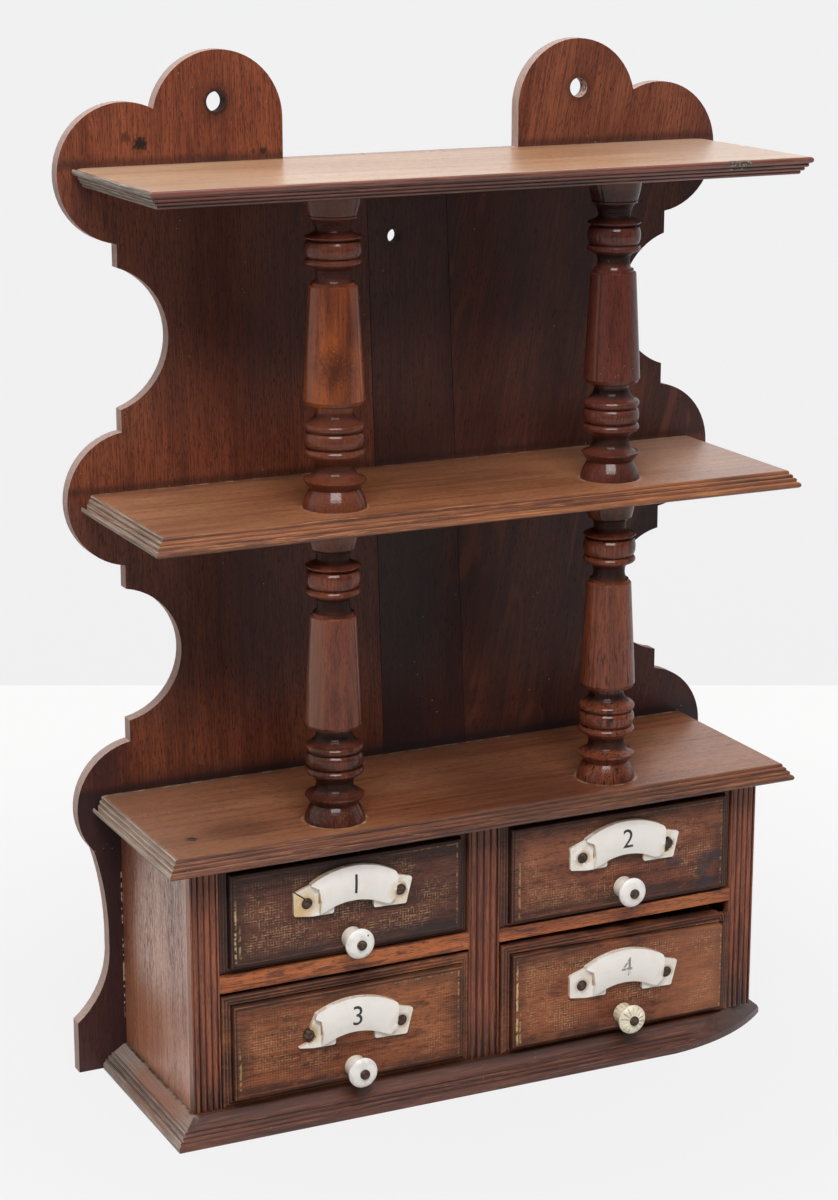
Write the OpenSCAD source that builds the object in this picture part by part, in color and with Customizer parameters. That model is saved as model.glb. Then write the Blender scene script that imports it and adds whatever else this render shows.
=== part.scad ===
/* [Case] */
// Width across the two case sides
case_w = 300; // [290:1:312]
// Depth of the case in front of the back boards
case_d = 90.6; // [86:0.2:96]
// Clear height between the base board and the case top
case_h = 120.4; // [118:0.2:126]
// Thickness of the case sides and of the middle divider
side_t = 8; // [6:0.5:9]
// Width of the reeded strips on the front edges of the sides
strip_w = 13.7; // [12:0.1:15]
// Width of the reeded strip on the divider
middle_strip_w = 16.2; // [14:0.1:18]
// Distance of the divider from the middle of the cabinet
divider_x = -0.6; // [-3:0.1:3]

/* [Shelves] */
// Thickness of the shelf boards
shelf_t = 8.2; // [7:0.1:10]
// Thickness of the base board
base_t = 11; // [10:0.1:13]
// Clear height of the lower bay, between case top and middle shelf
lower_bay_h = 138.4; // [130:0.2:150]
// Clear height of the upper bay, between middle and top shelf
upper_bay_h = 141.9; // [134:0.2:154]
// Half width and depth of the top shelf, over its smaller lower face
top_reach = [159.6, 96.1];
// Half width and depth of the middle shelf, over its smaller upper face
middle_reach = [160.1, 94.5];
// Half width and depth of the case top, over its smaller upper face
case_top_reach = [159.2, 98.9];
// Half width and depth of the base board at its lower edge, left end
base_reach = [162.6, 104.0];
// How far out of square the front edge of the base board runs, in degrees
base_skew = 0.55; // [0:0.05:1.5]
// Height of the base board's plain foot at the front
base_foot_h = 3.4; // [3:0.05:4]
// Height of the plain foot at the two ends, worked a little lower
base_end_foot_h = 3.15; // [3:0.05:4]

/* [Back boards] */
// Thickness of the back boards
back_t = 7; // [5:0.5:9]
// Radius of the ears and lobes of the fretted edge
lobe_r = 32; // [31:0.1:33]
// Radius of the hanging holes in the ears
hang_hole_r = 4.7; // [3:0.1:6]
// Radius of the hole in the middle board
middle_hole_r = 3.4; // [2:0.1:4]
// Width of the shrinkage gap between two back boards
seam_gap = 0.3; // [0.1:0.1:0.6]

/* [Columns] */
// Distance of the column axes behind the front edge of the case
column_back = [20.0, 12.7];
// Distance of the left and right columns from the middle of the cabinet
column_x = [[-67.9, 75.2], [-72.4, 71.5]];
// Girth of each column against the pattern: upper pair, lower pair
column_girth = [[1.05, 1.0], [1.01, 1.0]];
// Height of each column's foot group against the pattern
column_foot = [[1.05, 1.02], [1.0, 1.02]];
// Height of each column's head group against the pattern
column_head = [[0.96, 1.03], [1.03, 1.04]];
// Length of the spigots that hold a column in its shelves
spigot_l = 4; // [3:0.5:5]

/* [Drawers] */
// Thickness of a drawer front over its raised field
front_t = 12; // [11:0.5:14]
// Height of the raised field above the outer lip of the front
field_rise = 4; // [3:0.5:4.5]
// Width of the moulded border of a drawer front
border_w = 6.3; // [6:0.1:8]
// Thickness of drawer sides and backs
box_t = 5; // [4:0.5:6]
// Thickness of drawer bottoms
bottom_t = 3; // [2:0.5:3.5]
// Depth of the drawer box behind its front
box_d = 78; // [70:0.5:79]
// Clearance of a drawer front to each side of its opening
side_gap = 0.5; // [0.3:0.1:0.8]
// Radius of the porcelain knobs
knob_r = 7.3; // [6.5:0.1:8]
// Distance between the two pin holes of a label
label_pitch = 47.5; // [47:0.5:49]

/* [Hidden] */
$fn = 64;

wood_back = [0.20, 0.11, 0.09];
wood_shelf = [0.36, 0.20, 0.13];
wood_case = [0.34, 0.19, 0.14];
wood_column = [0.38, 0.19, 0.12];
wood_front = [0.30, 0.18, 0.12];
wood_inside = [0.62, 0.48, 0.33];
porcelain = [0.90, 0.88, 0.84];
cream_porcelain = [0.88, 0.82, 0.66];
dark_iron = [0.16, 0.14, 0.13];

// Drawer numbers: upper left, upper right, lower left, lower right
UL = 0;
UR = 1;
LL = 2;
LR = 3;
// How deep each drawer sits behind the case front when it is shut
recess = [2.0, 1.2, 0, -1.2];
// Slope of the upper edge of each front, in degrees
top_slope = [0, 0, 0, 1.7];
// Height of each front at its left end
front_h = [53.4, 54.8, 55.2, 55.8];
// Width of the lower border against the other three
lower_border = [0.75, 0.6, 0.9, 0.65];
// Turn of each label on its front, in degrees
label_turn = [1, 0, 1.4, 1.4];

// Knob and label places, measured up from the lower edge of the front
knob_up = 11.2;
label_up = 29.6;
// How far each label and each knob sits to the right of the middle and above
// those heights
label_shift = [[2.3, 0], [1.9, 1.2], [1.8, 0.8], [1.2, 0]];
knob_shift = [[1.5, -2.0], [1.4, 0.9], [1.8, -0.4], [1.3, 0]];
// Length of the knob and its screw head in front of the field
knob_l = 13.2;

// Depths: the cabinet stands centred on the origin, its back to +Y
proudest = -min(recess);
overall_d = back_t + case_d + field_rise + proudest + knob_l;
back_y = overall_d / 2;
wall_y = back_y - back_t;
case_y = wall_y - case_d;
strip_t = 5;

// Heights of the boards above the surface that the cabinet stands on
case_top_z = base_t + case_h;
lower_bay_z = case_top_z + shelf_t;
middle_z = lower_bay_z + lower_bay_h;
upper_bay_z = middle_z + shelf_t;
top_z = upper_bay_z + upper_bay_h;
rim_z = top_z + shelf_t;

// The drawer shelves: height of the under side and thickness, left and right
drawer_shelf_z = [68.2, 68.8];
drawer_shelf_t = [8.2, 6.4];
opening_x = [
    [-case_w / 2 + strip_w, divider_x - middle_strip_w / 2],
    [divider_x + middle_strip_w / 2, case_w / 2 - strip_w]
];
bay_x = [
    [-case_w / 2 + side_t, divider_x - side_t / 2],
    [divider_x + side_t / 2, case_w / 2 - side_t]
];
rest_gap = 0.2;

// Length that reaches past everything
far = 200;

// Small shared shapes

// Points of a curve that leaves [z0, r0] steeply and runs out level at [z1, r1]
function cove(z0, r0, z1, r1, n = 6) =
    [for (i = [0:n]) [z0 + (z1 - z0) * i / n, r1 + (r0 - r1) * pow(1 - i / n, 2)]];
// The same curve the other way up
function rising_cove(z0, r0, z1, r1, n = 6) =
    [for (i = [0:n]) [z0 + (z1 - z0) * i / n, r0 + (r1 - r0) * pow(i / n, 2)]];
// Points of a half round bead that stands proud of radius r by b
function bead(z0, z1, r, b, n = 8) =
    [for (i = [0:n]) [z0 + (z1 - z0) * (1 - cos(180 * i / n)) / 2, r + b * sin(180 * i / n)]];
// Points of a convex flare from a wide foot r0 to r1
function flare(z0, r0, z1, r1, n = 6) =
    [for (i = [0:n]) [z0 + (z1 - z0) * i / n, r1 + (r0 - r1) * cos(90 * i / n)]];
// Turns [height, radius] points into a solid of revolution on the Z axis
module turned(points) {
    last = len(points) - 1;
    rotate_extrude()
        polygon(concat(
            [[0, points[0][0]]],
            [for (p = points) [p[1], p[0]]],
            [[0, points[last][0]]]
        ));
}

module slab(x0, x1, y0, y1, z0, z1) {
    translate([x0, y0, z0]) cube([x1 - x0, y1 - y0, z1 - z0]);
}

// Edge section of a shelf, one half of it: three fine beads step out from the
// smaller face at the top down to a plain rounded nose
module beaded_section(reach, t) {
    bead_r = 0.95;
    nose_r = 1.45;
    nose = 4.7;
    polygon([
        [0, 0], [reach + nose - 2.1, 0], [reach + nose - 0.35, 0.5],
        [reach + nose - nose_r, 2 * nose_r], [reach - 0.75, t - 0.25], [reach - 1.1, t], [0, t]
    ]);
    translate([reach + nose - nose_r, nose_r]) circle(r = nose_r);
    for (i = [0:2])
        translate([reach - 0.6 + 1.38 * i, t - bead_r - 1.7 * i]) circle(r = bead_r);
}

// Edge section of the base board: a plain foot, three fine beads, and a slope
// that ends against the case
module base_section(reach, foot_h) {
    bead_r = 0.8;
    slope_run = 11.2;
    polygon([
        [-12, 0], [reach, 0], [reach, foot_h - 0.3], [reach - 1.6, foot_h + 0.6],
        [reach - 5.6, 7.4], [reach - slope_run, base_t], [-12, base_t]
    ]);
    for (i = [0:2])
        translate([reach - 1.9 - 1.7 * i, foot_h + 0.75 + 1.4 * i]) circle(r = bead_r);
}

// A board at the origin, its rear edge on y = 0, moulded on three edges.
// Child 0 is the section for the front, child 1 the section for the ends
module moulded_board(half_w, t, skew = 0) {
    rear_r = 7;
    difference() {
        intersection() {
            rotate([0, 0, -skew])
                rotate([90, 0, -90])
                    translate([0, 0, -far])
                        linear_extrude(2 * far) children(0);
            rotate([90, 0, 0])
                linear_extrude(far) {
                    children(1);
                    mirror([1, 0]) children(1);
                }
        }
        for (side = [-1, 1])
            translate([side * (half_w - rear_r + 4), -rear_r, -1])
                difference() {
                    translate([side > 0 ? 0 : -rear_r, 0, 0])
                        cube([rear_r, rear_r + 1, t + 2]);
                    cylinder(r = rear_r, h = t + 2);
                }
    }
}

// Back boards

// Right half of the fretted outline, seen from the front
module half_outline() {
    step_x = 144;
    foot_w = 174.6;
    foot_top = 112.4;
    difference() {
        union() {
            square([step_x, rim_z]);
            translate([lobe_r + 29.5, rim_z - 6]) square([2 * lobe_r, 25]);
            translate([93.5, 455]) circle(r = lobe_r);
            for (z = [133, 282.6, 433])
                translate([139.4, z]) circle(r = lobe_r);
            square([foot_w, foot_top]);
        }
        translate([154.5, 357.6]) circle(r = 34.5);
        translate([149.8, 207.3]) circle(r = 32.8);
        translate([202.5, 61]) circle(r = 45);
        intersection() {
            translate([317.5, 68]) circle(r = 160);
            translate([150, 62]) square([30, foot_top - 61.9]);
        }
    }
}

module back_outline() {
    difference() {
        union() {
            half_outline();
            mirror([1, 0]) half_outline();
        }
        for (side = [-1, 1])
            translate([side * 94.3, 463.5]) circle(r = hang_hole_r);
        translate([-4.7, 397.2]) circle(r = middle_hole_r);
    }
}

// Where the two slanting seams meet the foot and the rim
seam_left = [-6.8, -19.4];
seam_right = [40.1, 22.0];
edge_x = 200;

module board_between(foot_a, rim_a, foot_b, rim_b) {
    translate([0, back_y, 0])
        rotate([90, 0, 0])
            linear_extrude(back_t)
                intersection() {
                    back_outline();
                    polygon([[foot_a, 0], [foot_b, 0], [rim_b, rim_z], [rim_b, 500],
                             [rim_a, 500], [rim_a, rim_z]]);
                }
}

module back_board_left() {
    color(wood_back)
        board_between(-edge_x, -edge_x, seam_left[0] - seam_gap / 2, seam_left[1] - seam_gap / 2);
}

module back_board_middle() {
    color(wood_back)
        board_between(seam_left[0] + seam_gap / 2, seam_left[1] + seam_gap / 2,
                      seam_right[0] - seam_gap / 2, seam_right[1] - seam_gap / 2);
}

module back_board_right() {
    color(wood_back)
        board_between(seam_right[0] + seam_gap / 2, seam_right[1] + seam_gap / 2, edge_x, edge_x);
}

// Shelves and base

spigot_r = 3;
socket_r = spigot_r + 0.05;
// Column axes for bay 0, the upper one, and bay 1, the lower one
function column_at(bay, i) = [column_x[bay][i], case_y + column_back[bay]];

module sockets(bay, z) {
    for (i = [0, 1])
        translate([column_at(bay, i)[0], column_at(bay, i)[1], z])
            cylinder(r = socket_r, h = spigot_l + 0.2);
}

// The board shape alone, its smaller face up, or down for the top shelf
module shelf_blank(reach, z, upside_down = false) {
    translate([0, wall_y, upside_down ? z + shelf_t : z])
        mirror([0, 0, upside_down ? 1 : 0])
            moulded_board(reach[0], shelf_t) {
                beaded_section(reach[1], shelf_t);
                beaded_section(reach[0], shelf_t);
            }
}

module top_shelf() {
    color(wood_shelf)
        difference() {
            shelf_blank(top_reach, top_z, true);
            sockets(0, top_z - 0.1);
        }
}

module middle_shelf() {
    color(wood_shelf)
        difference() {
            shelf_blank(middle_reach, middle_z);
            sockets(0, middle_z + shelf_t - spigot_l - 0.1);
            sockets(1, middle_z - 0.1);
        }
}

module case_top() {
    color(wood_shelf)
        difference() {
            shelf_blank(case_top_reach, case_top_z);
            sockets(1, case_top_z + shelf_t - spigot_l - 0.1);
        }
}

// Worn front corner of the base: a long curve that leaves the foot upright and
// slopes above it
module worn_corner() {
    worn_r = 112.4;
    fall = 7;
    curve_x = 90;
    curve_y = wall_y + 5.6;
    difference() {
        slab(curve_x, 180, curve_y - worn_r - 20, wall_y - 40, -1, base_t + 1);
        translate([curve_x, curve_y, 0])
            turned([[-2, worn_r], [base_foot_h, worn_r], [base_t + 2, worn_r - fall]], $fn = 200);
    }
}

module base_board() {
    skewed_d = base_reach[1] + base_reach[0] * tan(base_skew);
    color(wood_shelf)
        difference() {
            translate([0, wall_y, 0])
                intersection() {
                    moulded_board(base_reach[0], base_t, base_skew) {
                        base_section(skewed_d, base_foot_h);
                        base_section(base_reach[0], base_end_foot_h);
                    }
                    slab(-200, 200, -200, 0, -1, base_t + 1);
                }
            worn_corner();
        }
}

// Case

module case_side(side) {
    color(wood_case)
        slab(side > 0 ? case_w / 2 - side_t : -case_w / 2, side > 0 ? case_w / 2 : -case_w / 2 + side_t,
             case_y + strip_t, wall_y, base_t, case_top_z);
}

module case_side_left() {
    case_side(-1);
}

module case_side_right() {
    case_side(1);
}

module case_divider() {
    color(wood_case)
        slab(divider_x - side_t / 2, divider_x + side_t / 2, case_y + strip_t, wall_y, base_t, case_top_z);
}

// A strip with four half round reeds along its front face
module reeded_strip(x0, w) {
    count = 4;
    margin = 0.9;
    reed_r = (w - 2 * margin) / count / 2;
    reed_depth = 1.4;
    color(wood_case)
        translate([x0, case_y, base_t])
            linear_extrude(case_h) {
                translate([0, reed_depth]) square([w, strip_t - reed_depth]);
                for (side = [0, 1])
                    translate([side * (w - margin + 0.1), 0.2]) square([margin - 0.1, strip_t - 0.2]);
                intersection() {
                    translate([0, 0]) square([w, strip_t]);
                    for (i = [0:count - 1])
                        translate([margin + reed_r * (2 * i + 1), reed_r]) circle(r = reed_r - 0.03);
                }
            }
}

module reeded_strip_left() {
    reeded_strip(-case_w / 2, strip_w);
}

module reeded_strip_middle() {
    reeded_strip(divider_x - middle_strip_w / 2, middle_strip_w);
}

module reeded_strip_right() {
    reeded_strip(case_w / 2 - strip_w, strip_w);
}

// The board that carries the upper drawer; its front shows between the strips
module drawer_shelf(half) {
    z = drawer_shelf_z[half];
    t = drawer_shelf_t[half];
    color(wood_case) {
        slab(bay_x[half][0], bay_x[half][1], case_y + strip_t, wall_y, z, z + t);
        slab(opening_x[half][0], opening_x[half][1], case_y, case_y + strip_t, z, z + t);
    }
}

module drawer_shelf_left() {
    drawer_shelf(0);
}

module drawer_shelf_right() {
    drawer_shelf(1);
}

// Four strips that steer the two drawers of one half
module drawer_guides(half) {
    guide_h = 6;
    floor_z = [base_t, drawer_shelf_z[half] + drawer_shelf_t[half]];
    color(wood_inside)
        for (z = floor_z) {
            slab(bay_x[half][0], opening_x[half][0] - 0.1, case_y + strip_t, wall_y - 6, z, z + guide_h);
            slab(opening_x[half][1] + 0.1, bay_x[half][1], case_y + strip_t, wall_y - 6, z, z + guide_h);
        }
}

module drawer_guides_left() {
    drawer_guides(0);
}

module drawer_guides_right() {
    drawer_guides(1);
}

// Columns

// Foot group, up to the lower edge of the shaft: bell, sharp ring, neck, and
// a torus between two rings
foot_profile = concat(
    flare(0, 14.1, 8.4, 10.9),
    [[12.0, 13.7], [12.5, 13.8], [12.8, 13.4]],
    cove(13.0, 12.2, 17.4, 8.6),
    rising_cove(18.4, 8.6, 22.4, 11.6),
    bead(22.6, 26.2, 11.7, 1.8),
    bead(26.6, 33.4, 11.8, 1.6),
    bead(33.8, 37.4, 11.7, 1.7),
    cove(37.6, 11.4, 42.2, 8.2),
    [[44.6, 8.3], [45.0, 11.6], [45.6, 12.6], [47.2, 13.4]]
);
// Head group from the upper edge of the shaft, measured from there: collar,
// neck, ring, torus and sharp ring
head_profile = concat(
    [[-0.5, 10.75], [0, 10.3], [0.15, 9.6], [1.4, 9.4], [1.6, 8.4]],
    cove(1.8, 8.3, 4.8, 7.5, 4),
    rising_cove(6.4, 7.6, 9.2, 10.6, 4),
    bead(9.4, 12.4, 10.9, 1.6),
    bead(12.8, 20.6, 11.0, 1.5),
    [[21.0, 10.4], [22.2, 12.5], [22.6, 12.6], [22.9, 12.2]],
    cove(23.1, 11.4, 25.7, 7.6, 4)
);
// Tall bell under the top shelf, from the neck up
bell_profile = concat(
    [[26.9, 7.7]],
    rising_cove(27.1, 7.9, 31.1, 10.1, 4),
    [[31.3, 10.7], [32.1, 10.9], [32.3, 10.5]],
    [for (i = [0:6]) [32.5 + 9.9 * i / 6, 10.8 + 1.8 * sin(90 * i / 6)]]
);
// Short cup under the middle shelf, from the neck up
cup_profile = concat(
    [[28.3, 7.8]],
    rising_cove(28.5, 8.1, 30.3, 9.8, 3),
    [[30.5, 10.4]],
    [for (i = [0:5]) [30.7 + 8.2 * i / 5, 10.4 + 1.4 * sin(90 * i / 5)]]
);

// One column on its spigots; bay 0 is the upper bay
module column(bay, i) {
    length = bay == 0 ? upper_bay_h : lower_bay_h;
    head = concat(head_profile, bay == 0 ? bell_profile : cup_profile);
    head_scale = column_head[bay][i];
    shaft_top = length - head[len(head) - 1][0] * head_scale;
    girth = column_girth[bay][i];
    points = concat(
        [for (p = foot_profile) [p[0] * column_foot[bay][i], p[1] * girth]],
        [for (p = head) [shaft_top + p[0] * head_scale, p[1] * girth]]
    );
    color(wood_column)
        translate([column_at(bay, i)[0], column_at(bay, i)[1], bay == 0 ? upper_bay_z : lower_bay_z]) {
            turned(points);
            translate([0, 0, -spigot_l]) cylinder(r = spigot_r, h = spigot_l + 1);
            translate([0, 0, length - 1]) cylinder(r = spigot_r, h = spigot_l + 1);
        }
}

module column_upper_left() {
    column(0, 0);
}

module column_upper_right() {
    column(0, 1);
}

module column_lower_left() {
    column(1, 0);
}

module column_lower_right() {
    column(1, 1);
}

// Drawers

function half_of(d) = d % 2;
function front_x(d) = opening_x[half_of(d)][0] + side_gap;
function front_w(d) = opening_x[half_of(d)][1] - opening_x[half_of(d)][0] - 2 * side_gap;
function front_z(d) =
    (d < 2 ? drawer_shelf_z[half_of(d)] + drawer_shelf_t[half_of(d)] : base_t) + rest_gap;
// Back face of the drawer front, and its raised field
function front_back_y(d) = case_y + front_t - field_rise + recess[d];
function field_y(d) = front_back_y(d) - front_t;
function front_mid_x(d) = front_x(d) + front_w(d) / 2;
rebate_d = 6;
groove_z = 4;

lip_t = front_t - field_rise;

// Runs a section along X: its first axis is -Y, its second the distance from
// the edge of the front, up to a plane far inside
module edge_run() {
    rotate([90, 0, 90])
        translate([0, 0, -far])
            linear_extrude(2 * far) children();
}

// Sloping lip that ends at distance u from the edge
module lip_run(u) {
    edge_run()
        polygon([[0, 0], [-lip_t, 0], [-lip_t - 1.2, u], [-lip_t - 1.2, far], [0, far]]);
}

// Everything above the floor of the quirk between lip and field
module quirk_run(u) {
    edge_run()
        polygon([[-far, u], [-lip_t - 0.3, u], [-lip_t - 0.3, far], [-far, far]]);
}

// Raised field with a quarter round edge
module field_run(u) {
    r = 1.3;
    edge_run()
        polygon(concat(
            [[0, u]],
            [for (i = [0:5]) [-front_t + r - r * sin(18 * i), u + r - r * cos(18 * i)]],
            [[-front_t, far], [0, far]]
        ));
}

// Common part of four runs round a front; child 0 is the lower one
module four_sided(d) {
    intersection() {
        children(0);
        translate([0, 0, front_h[d]])
            rotate([0, top_slope[d], 0])
                mirror([0, 0, 1]) children(1);
        rotate([0, 90, 0]) children(1);
        translate([front_w(d), 0, 0])
            mirror([1, 0, 0]) rotate([0, 90, 0]) children(1);
    }
}

module front_blank(d) {
    w = border_w;
    low = border_w * lower_border[d];
    difference() {
        four_sided(d) {
            lip_run(low * 0.6);
            lip_run(w * 0.6);
        }
        four_sided(d) {
            quirk_run(low * 0.6);
            quirk_run(w * 0.6);
        }
    }
    four_sided(d) {
        field_run(low * 0.72);
        field_run(w * 0.72);
    }
}

module drawer_front(d) {
    w = front_w(d);
    h = front_h[d];
    color(wood_front)
        translate([front_x(d), front_back_y(d), front_z(d)])
            difference() {
                front_blank(d);
                for (side = [0, 1])
                    translate([side * (w - box_t - 0.05) - 1 + side, -rebate_d, -1])
                        cube([box_t + 1.05, rebate_d + 1, h + 2]);
                translate([box_t - 2, -rebate_d + 2, groove_z])
                    cube([w - 2 * box_t + 4, rebate_d, bottom_t + 0.1]);
                translate([w / 2 + knob_shift[d][0], 0, knob_up + knob_shift[d][1]])
                    screw_hole(knob_screw_r + 0.05, 9);
                for (side = [-1, 1])
                    translate([w / 2 + label_shift[d][0], 0, label_up + label_shift[d][1]])
                        rotate([0, label_turn[d], 0])
                            translate([side * label_pitch / 2, 0, 0])
                                screw_hole(pin_r + 0.05, 6.2);
            }
}

// Blind hole of the given depth, drilled into the field of a front
module screw_hole(r, depth) {
    translate([0, -front_t + depth, 0])
        rotate([90, 0, 0]) cylinder(r = r, h = depth + 1, $fn = 24);
}

side_h_cut = 3.4;
function box_h(d) = front_h[d] - side_h_cut - front_w(d) * tan(top_slope[d]);

module drawer_side(d, side) {
    x = side == 0 ? front_x(d) : front_x(d) + front_w(d) - box_t;
    groove_x = side == 0 ? x + box_t - 2 : x - 1;
    y0 = front_back_y(d) - rebate_d + 0.05;
    y1 = front_back_y(d) + box_d;
    color(wood_inside)
        difference() {
            slab(x, x + box_t, y0, y1, front_z(d), front_z(d) + box_h(d));
            slab(groove_x, groove_x + 3, y0 - 1, y1 + 1,
                 front_z(d) + groove_z, front_z(d) + groove_z + bottom_t + 0.1);
        }
}

module drawer_back(d) {
    y1 = front_back_y(d) + box_d - 1.5;
    color(wood_inside)
        slab(front_x(d) + box_t, front_x(d) + front_w(d) - box_t, y1 - box_t, y1,
             front_z(d) + groove_z + bottom_t + 0.1, front_z(d) + box_h(d) - 2);
}

module drawer_bottom(d) {
    color(wood_inside)
        slab(front_x(d) + box_t - 1.8, front_x(d) + front_w(d) - box_t + 1.8,
             front_back_y(d) - rebate_d + 2.2, front_back_y(d) + box_d - 1.5,
             front_z(d) + groove_z + 0.05, front_z(d) + groove_z + bottom_t);
}

// Labels

tab_t = 1.6;
plate_t = 4;
pin_hole_r = 2.8;
pin_head_r = 2.6;
pin_r = 0.9;
arch_outer_r = 42;
arch_inner_r = 24.4;
arch_centre = -26.4;
arch_angle = 50;

// Moves a label drawn in the XZ plane, its back on y = 0, onto a front
module on_label_seat(d) {
    place = [front_mid_x(d), field_y(d), front_z(d) + label_up];
    translate(place + [label_shift[d][0], 0, label_shift[d][1]])
        rotate([0, label_turn[d], 0]) children();
}

// Folded ends of the ribbon, behind its arched middle
module label_tabs() {
    foot_r = 1.2;
    rotate([90, 0, 0])
        linear_extrude(tab_t) {
            polygon([[18, 8.6], [28.2, 6.1], [29.5, 4.2], [27.1, -5.8], [25.9, -7.1],
                     [11.3, -6.9], [10.1, -5.7], [10.1, -2], [18, -1]]);
            translate([28.2, 4.7]) circle(r = 1.4);
            translate([25.9, -5.9]) circle(r = foot_r);
            translate([11.3, -5.7]) circle(r = foot_r);
            polygon([[-18, 8.8], [-22.2, 8.6], [-29.3, 6.1], [-30.5, 4.4], [-30.3, -4.4],
                     [-29.1, -5.7], [-21, -6.7], [-11.3, -6.6], [-10.1, -5.4], [-10.1, -2], [-18, -1]]);
            translate([-29.3, 4.8]) circle(r = 1.3);
            translate([-29.1, -4.5]) circle(r = foot_r);
            translate([-11.3, -5.4]) circle(r = foot_r);
        }
}

// Arched middle of the ribbon with a crowned face: a flat arch whose ends are
// cut nearly upright
module label_plate() {
    mid_r = (arch_outer_r + arch_inner_r) / 2;
    half = (arch_outer_r - arch_inner_r) / 2;
    edge_t = 2.9;
    crown_r = (half * half + pow(plate_t - edge_t, 2)) / (2 * (plate_t - edge_t));
    under_r = 34;
    intersection() {
        translate([0, 0, arch_centre])
            rotate([90, 0, 0])
                rotate([0, 0, 90 - arch_angle])
                    rotate_extrude(angle = 2 * arch_angle, $fn = 120)
                        intersection() {
                            translate([arch_inner_r, 0]) square([2 * half, plate_t]);
                            translate([mid_r, plate_t - crown_r]) circle(r = crown_r, $fn = 180);
                        }
        rotate([90, 0, 0])
            translate([0, 0, -1])
                linear_extrude(plate_t + 2)
                    difference() {
                        union() {
                            polygon([[-10.6, -4.2], [10.6, -4.2], [17.6, -5.2], [20.4, -2.4], [21.5, 7.9],
                                     [19.9, 10.65], [18, 17], [-20, 17], [-22.3, 8.6], [-18.4, 6.6],
                                     [-17.5, 0.4], [-17.7, -5.4]]);
                            translate([18.4, 7.85]) circle(r = 3.1);
                        }
                        translate([0, -1.2 - under_r]) circle(r = under_r, $fn = 120);
                    }
    }
}

// Broken edge of the left end of the lower left label
module broken_end() {
    rotate([90, 0, 0])
        translate([0, 0, -1])
            linear_extrude(plate_t + 2)
                polygon([[-33, 11], [-20.4, 10.2], [-22.4, 5.7], [-23.2, 3.3], [-22.9, 0.8], [-20.7, 0],
                         [-20.2, -1.8], [-22.8, -4.1], [-24.7, -3.5], [-26.4, -4.5], [-28.7, -5.1],
                         [-27.6, -9], [-33, -9]]);
}

// Crack from the upper corner to the pin hole, left end of the upper left label
module crack() {
    translate([-27.4, 0, 4.2])
        rotate([0, 36, 0])
            translate([-6, -tab_t - 0.5, -0.3]) cube([9.6, tab_t + 1, 0.6]);
}

// Chips above and below the right pin hole of the upper right label
module chipped_hole() {
    for (chip = [[22.9, -2.6, 1.6], [23.3, 2.3, 1.5]])
        translate([chip[0], 1, chip[1]])
            rotate([90, 0, 0]) cylinder(r = chip[2], h = plate_t + 2, $fn = 24);
}

module drawer_label(d) {
    color(porcelain)
        on_label_seat(d)
            difference() {
                union() {
                    label_tabs();
                    label_plate();
                }
                for (side = [-1, 1])
                    translate([side * label_pitch / 2, 1, 0])
                        rotate([90, 0, 0]) cylinder(r = pin_hole_r, h = plate_t + 2, $fn = 40);
                if (d == UR) chipped_hole();
                if (d == LL) broken_end();
                if (d == UL) crack();
            }
}

module label_pins(d) {
    color(dark_iron)
        on_label_seat(d)
            for (side = [-1, 1])
                translate([side * label_pitch / 2, 0, 0])
                    rotate([90, 0, 0]) {
                        turned([[0, pin_head_r], [1.5, pin_head_r], [1.9, 1.7], [2.1, 0.8]]);
                        translate([0, 0, -6]) cylinder(r = pin_r, h = 7, $fn = 24);
                    }
}

// Knobs

knob_screw_r = 1.6;

// Porcelain knob with a plain tapered neck, drawn along +Z from the field of
// the front
module knob_body() {
    difference() {
        turned(concat(
            [[0, 5.0], [0.5, 5.3], [6.4, 4.6]],
            rising_cove(6.6, 4.6, 8.2, knob_r - 0.9, 4),
            bead(8.3, 10.5, knob_r - 0.8, 0.8),
            [for (i = [1:4]) [10.5 + 1.1 * sin(22.5 * i), (knob_r - 0.8) * cos(17 * i)]]
        ));
        translate([0, 0, -1]) cylinder(r = knob_screw_r + 0.05, h = 14, $fn = 24);
    }
}

// Short grooves like rays on the face of one knob
module face_grooves() {
    count = 14;
    for (i = [0:count - 1])
        rotate([0, 0, 360 / count * (i + 0.5)])
            translate([3, 0, 11.85])
                rotate([0, 100, 0]) cylinder(r = 0.5, h = 4.6, $fn = 16);
}

module on_knob_seat(d) {
    place = [front_mid_x(d), field_y(d), front_z(d) + knob_up];
    translate(place + [knob_shift[d][0], 0, knob_shift[d][1]])
        rotate([90, 0, 0]) children();
}

module drawer_knob(d) {
    color(d == LR ? cream_porcelain : porcelain)
        on_knob_seat(d)
            difference() {
                knob_body();
                if (d == LR) face_grooves();
            }
}

// Domed head on the knob face and a shank into the front
module knob_screw(d) {
    head_r = 2.4;
    head_z = 11.65;
    color(dark_iron)
        on_knob_seat(d) {
            turned([[head_z, head_r], [head_z + 0.7, head_r], [knob_l - 0.4, 1.7], [knob_l, 0.7]]);
            translate([0, 0, -8.8]) cylinder(r = knob_screw_r, h = head_z + 9, $fn = 24);
        }
}

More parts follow.
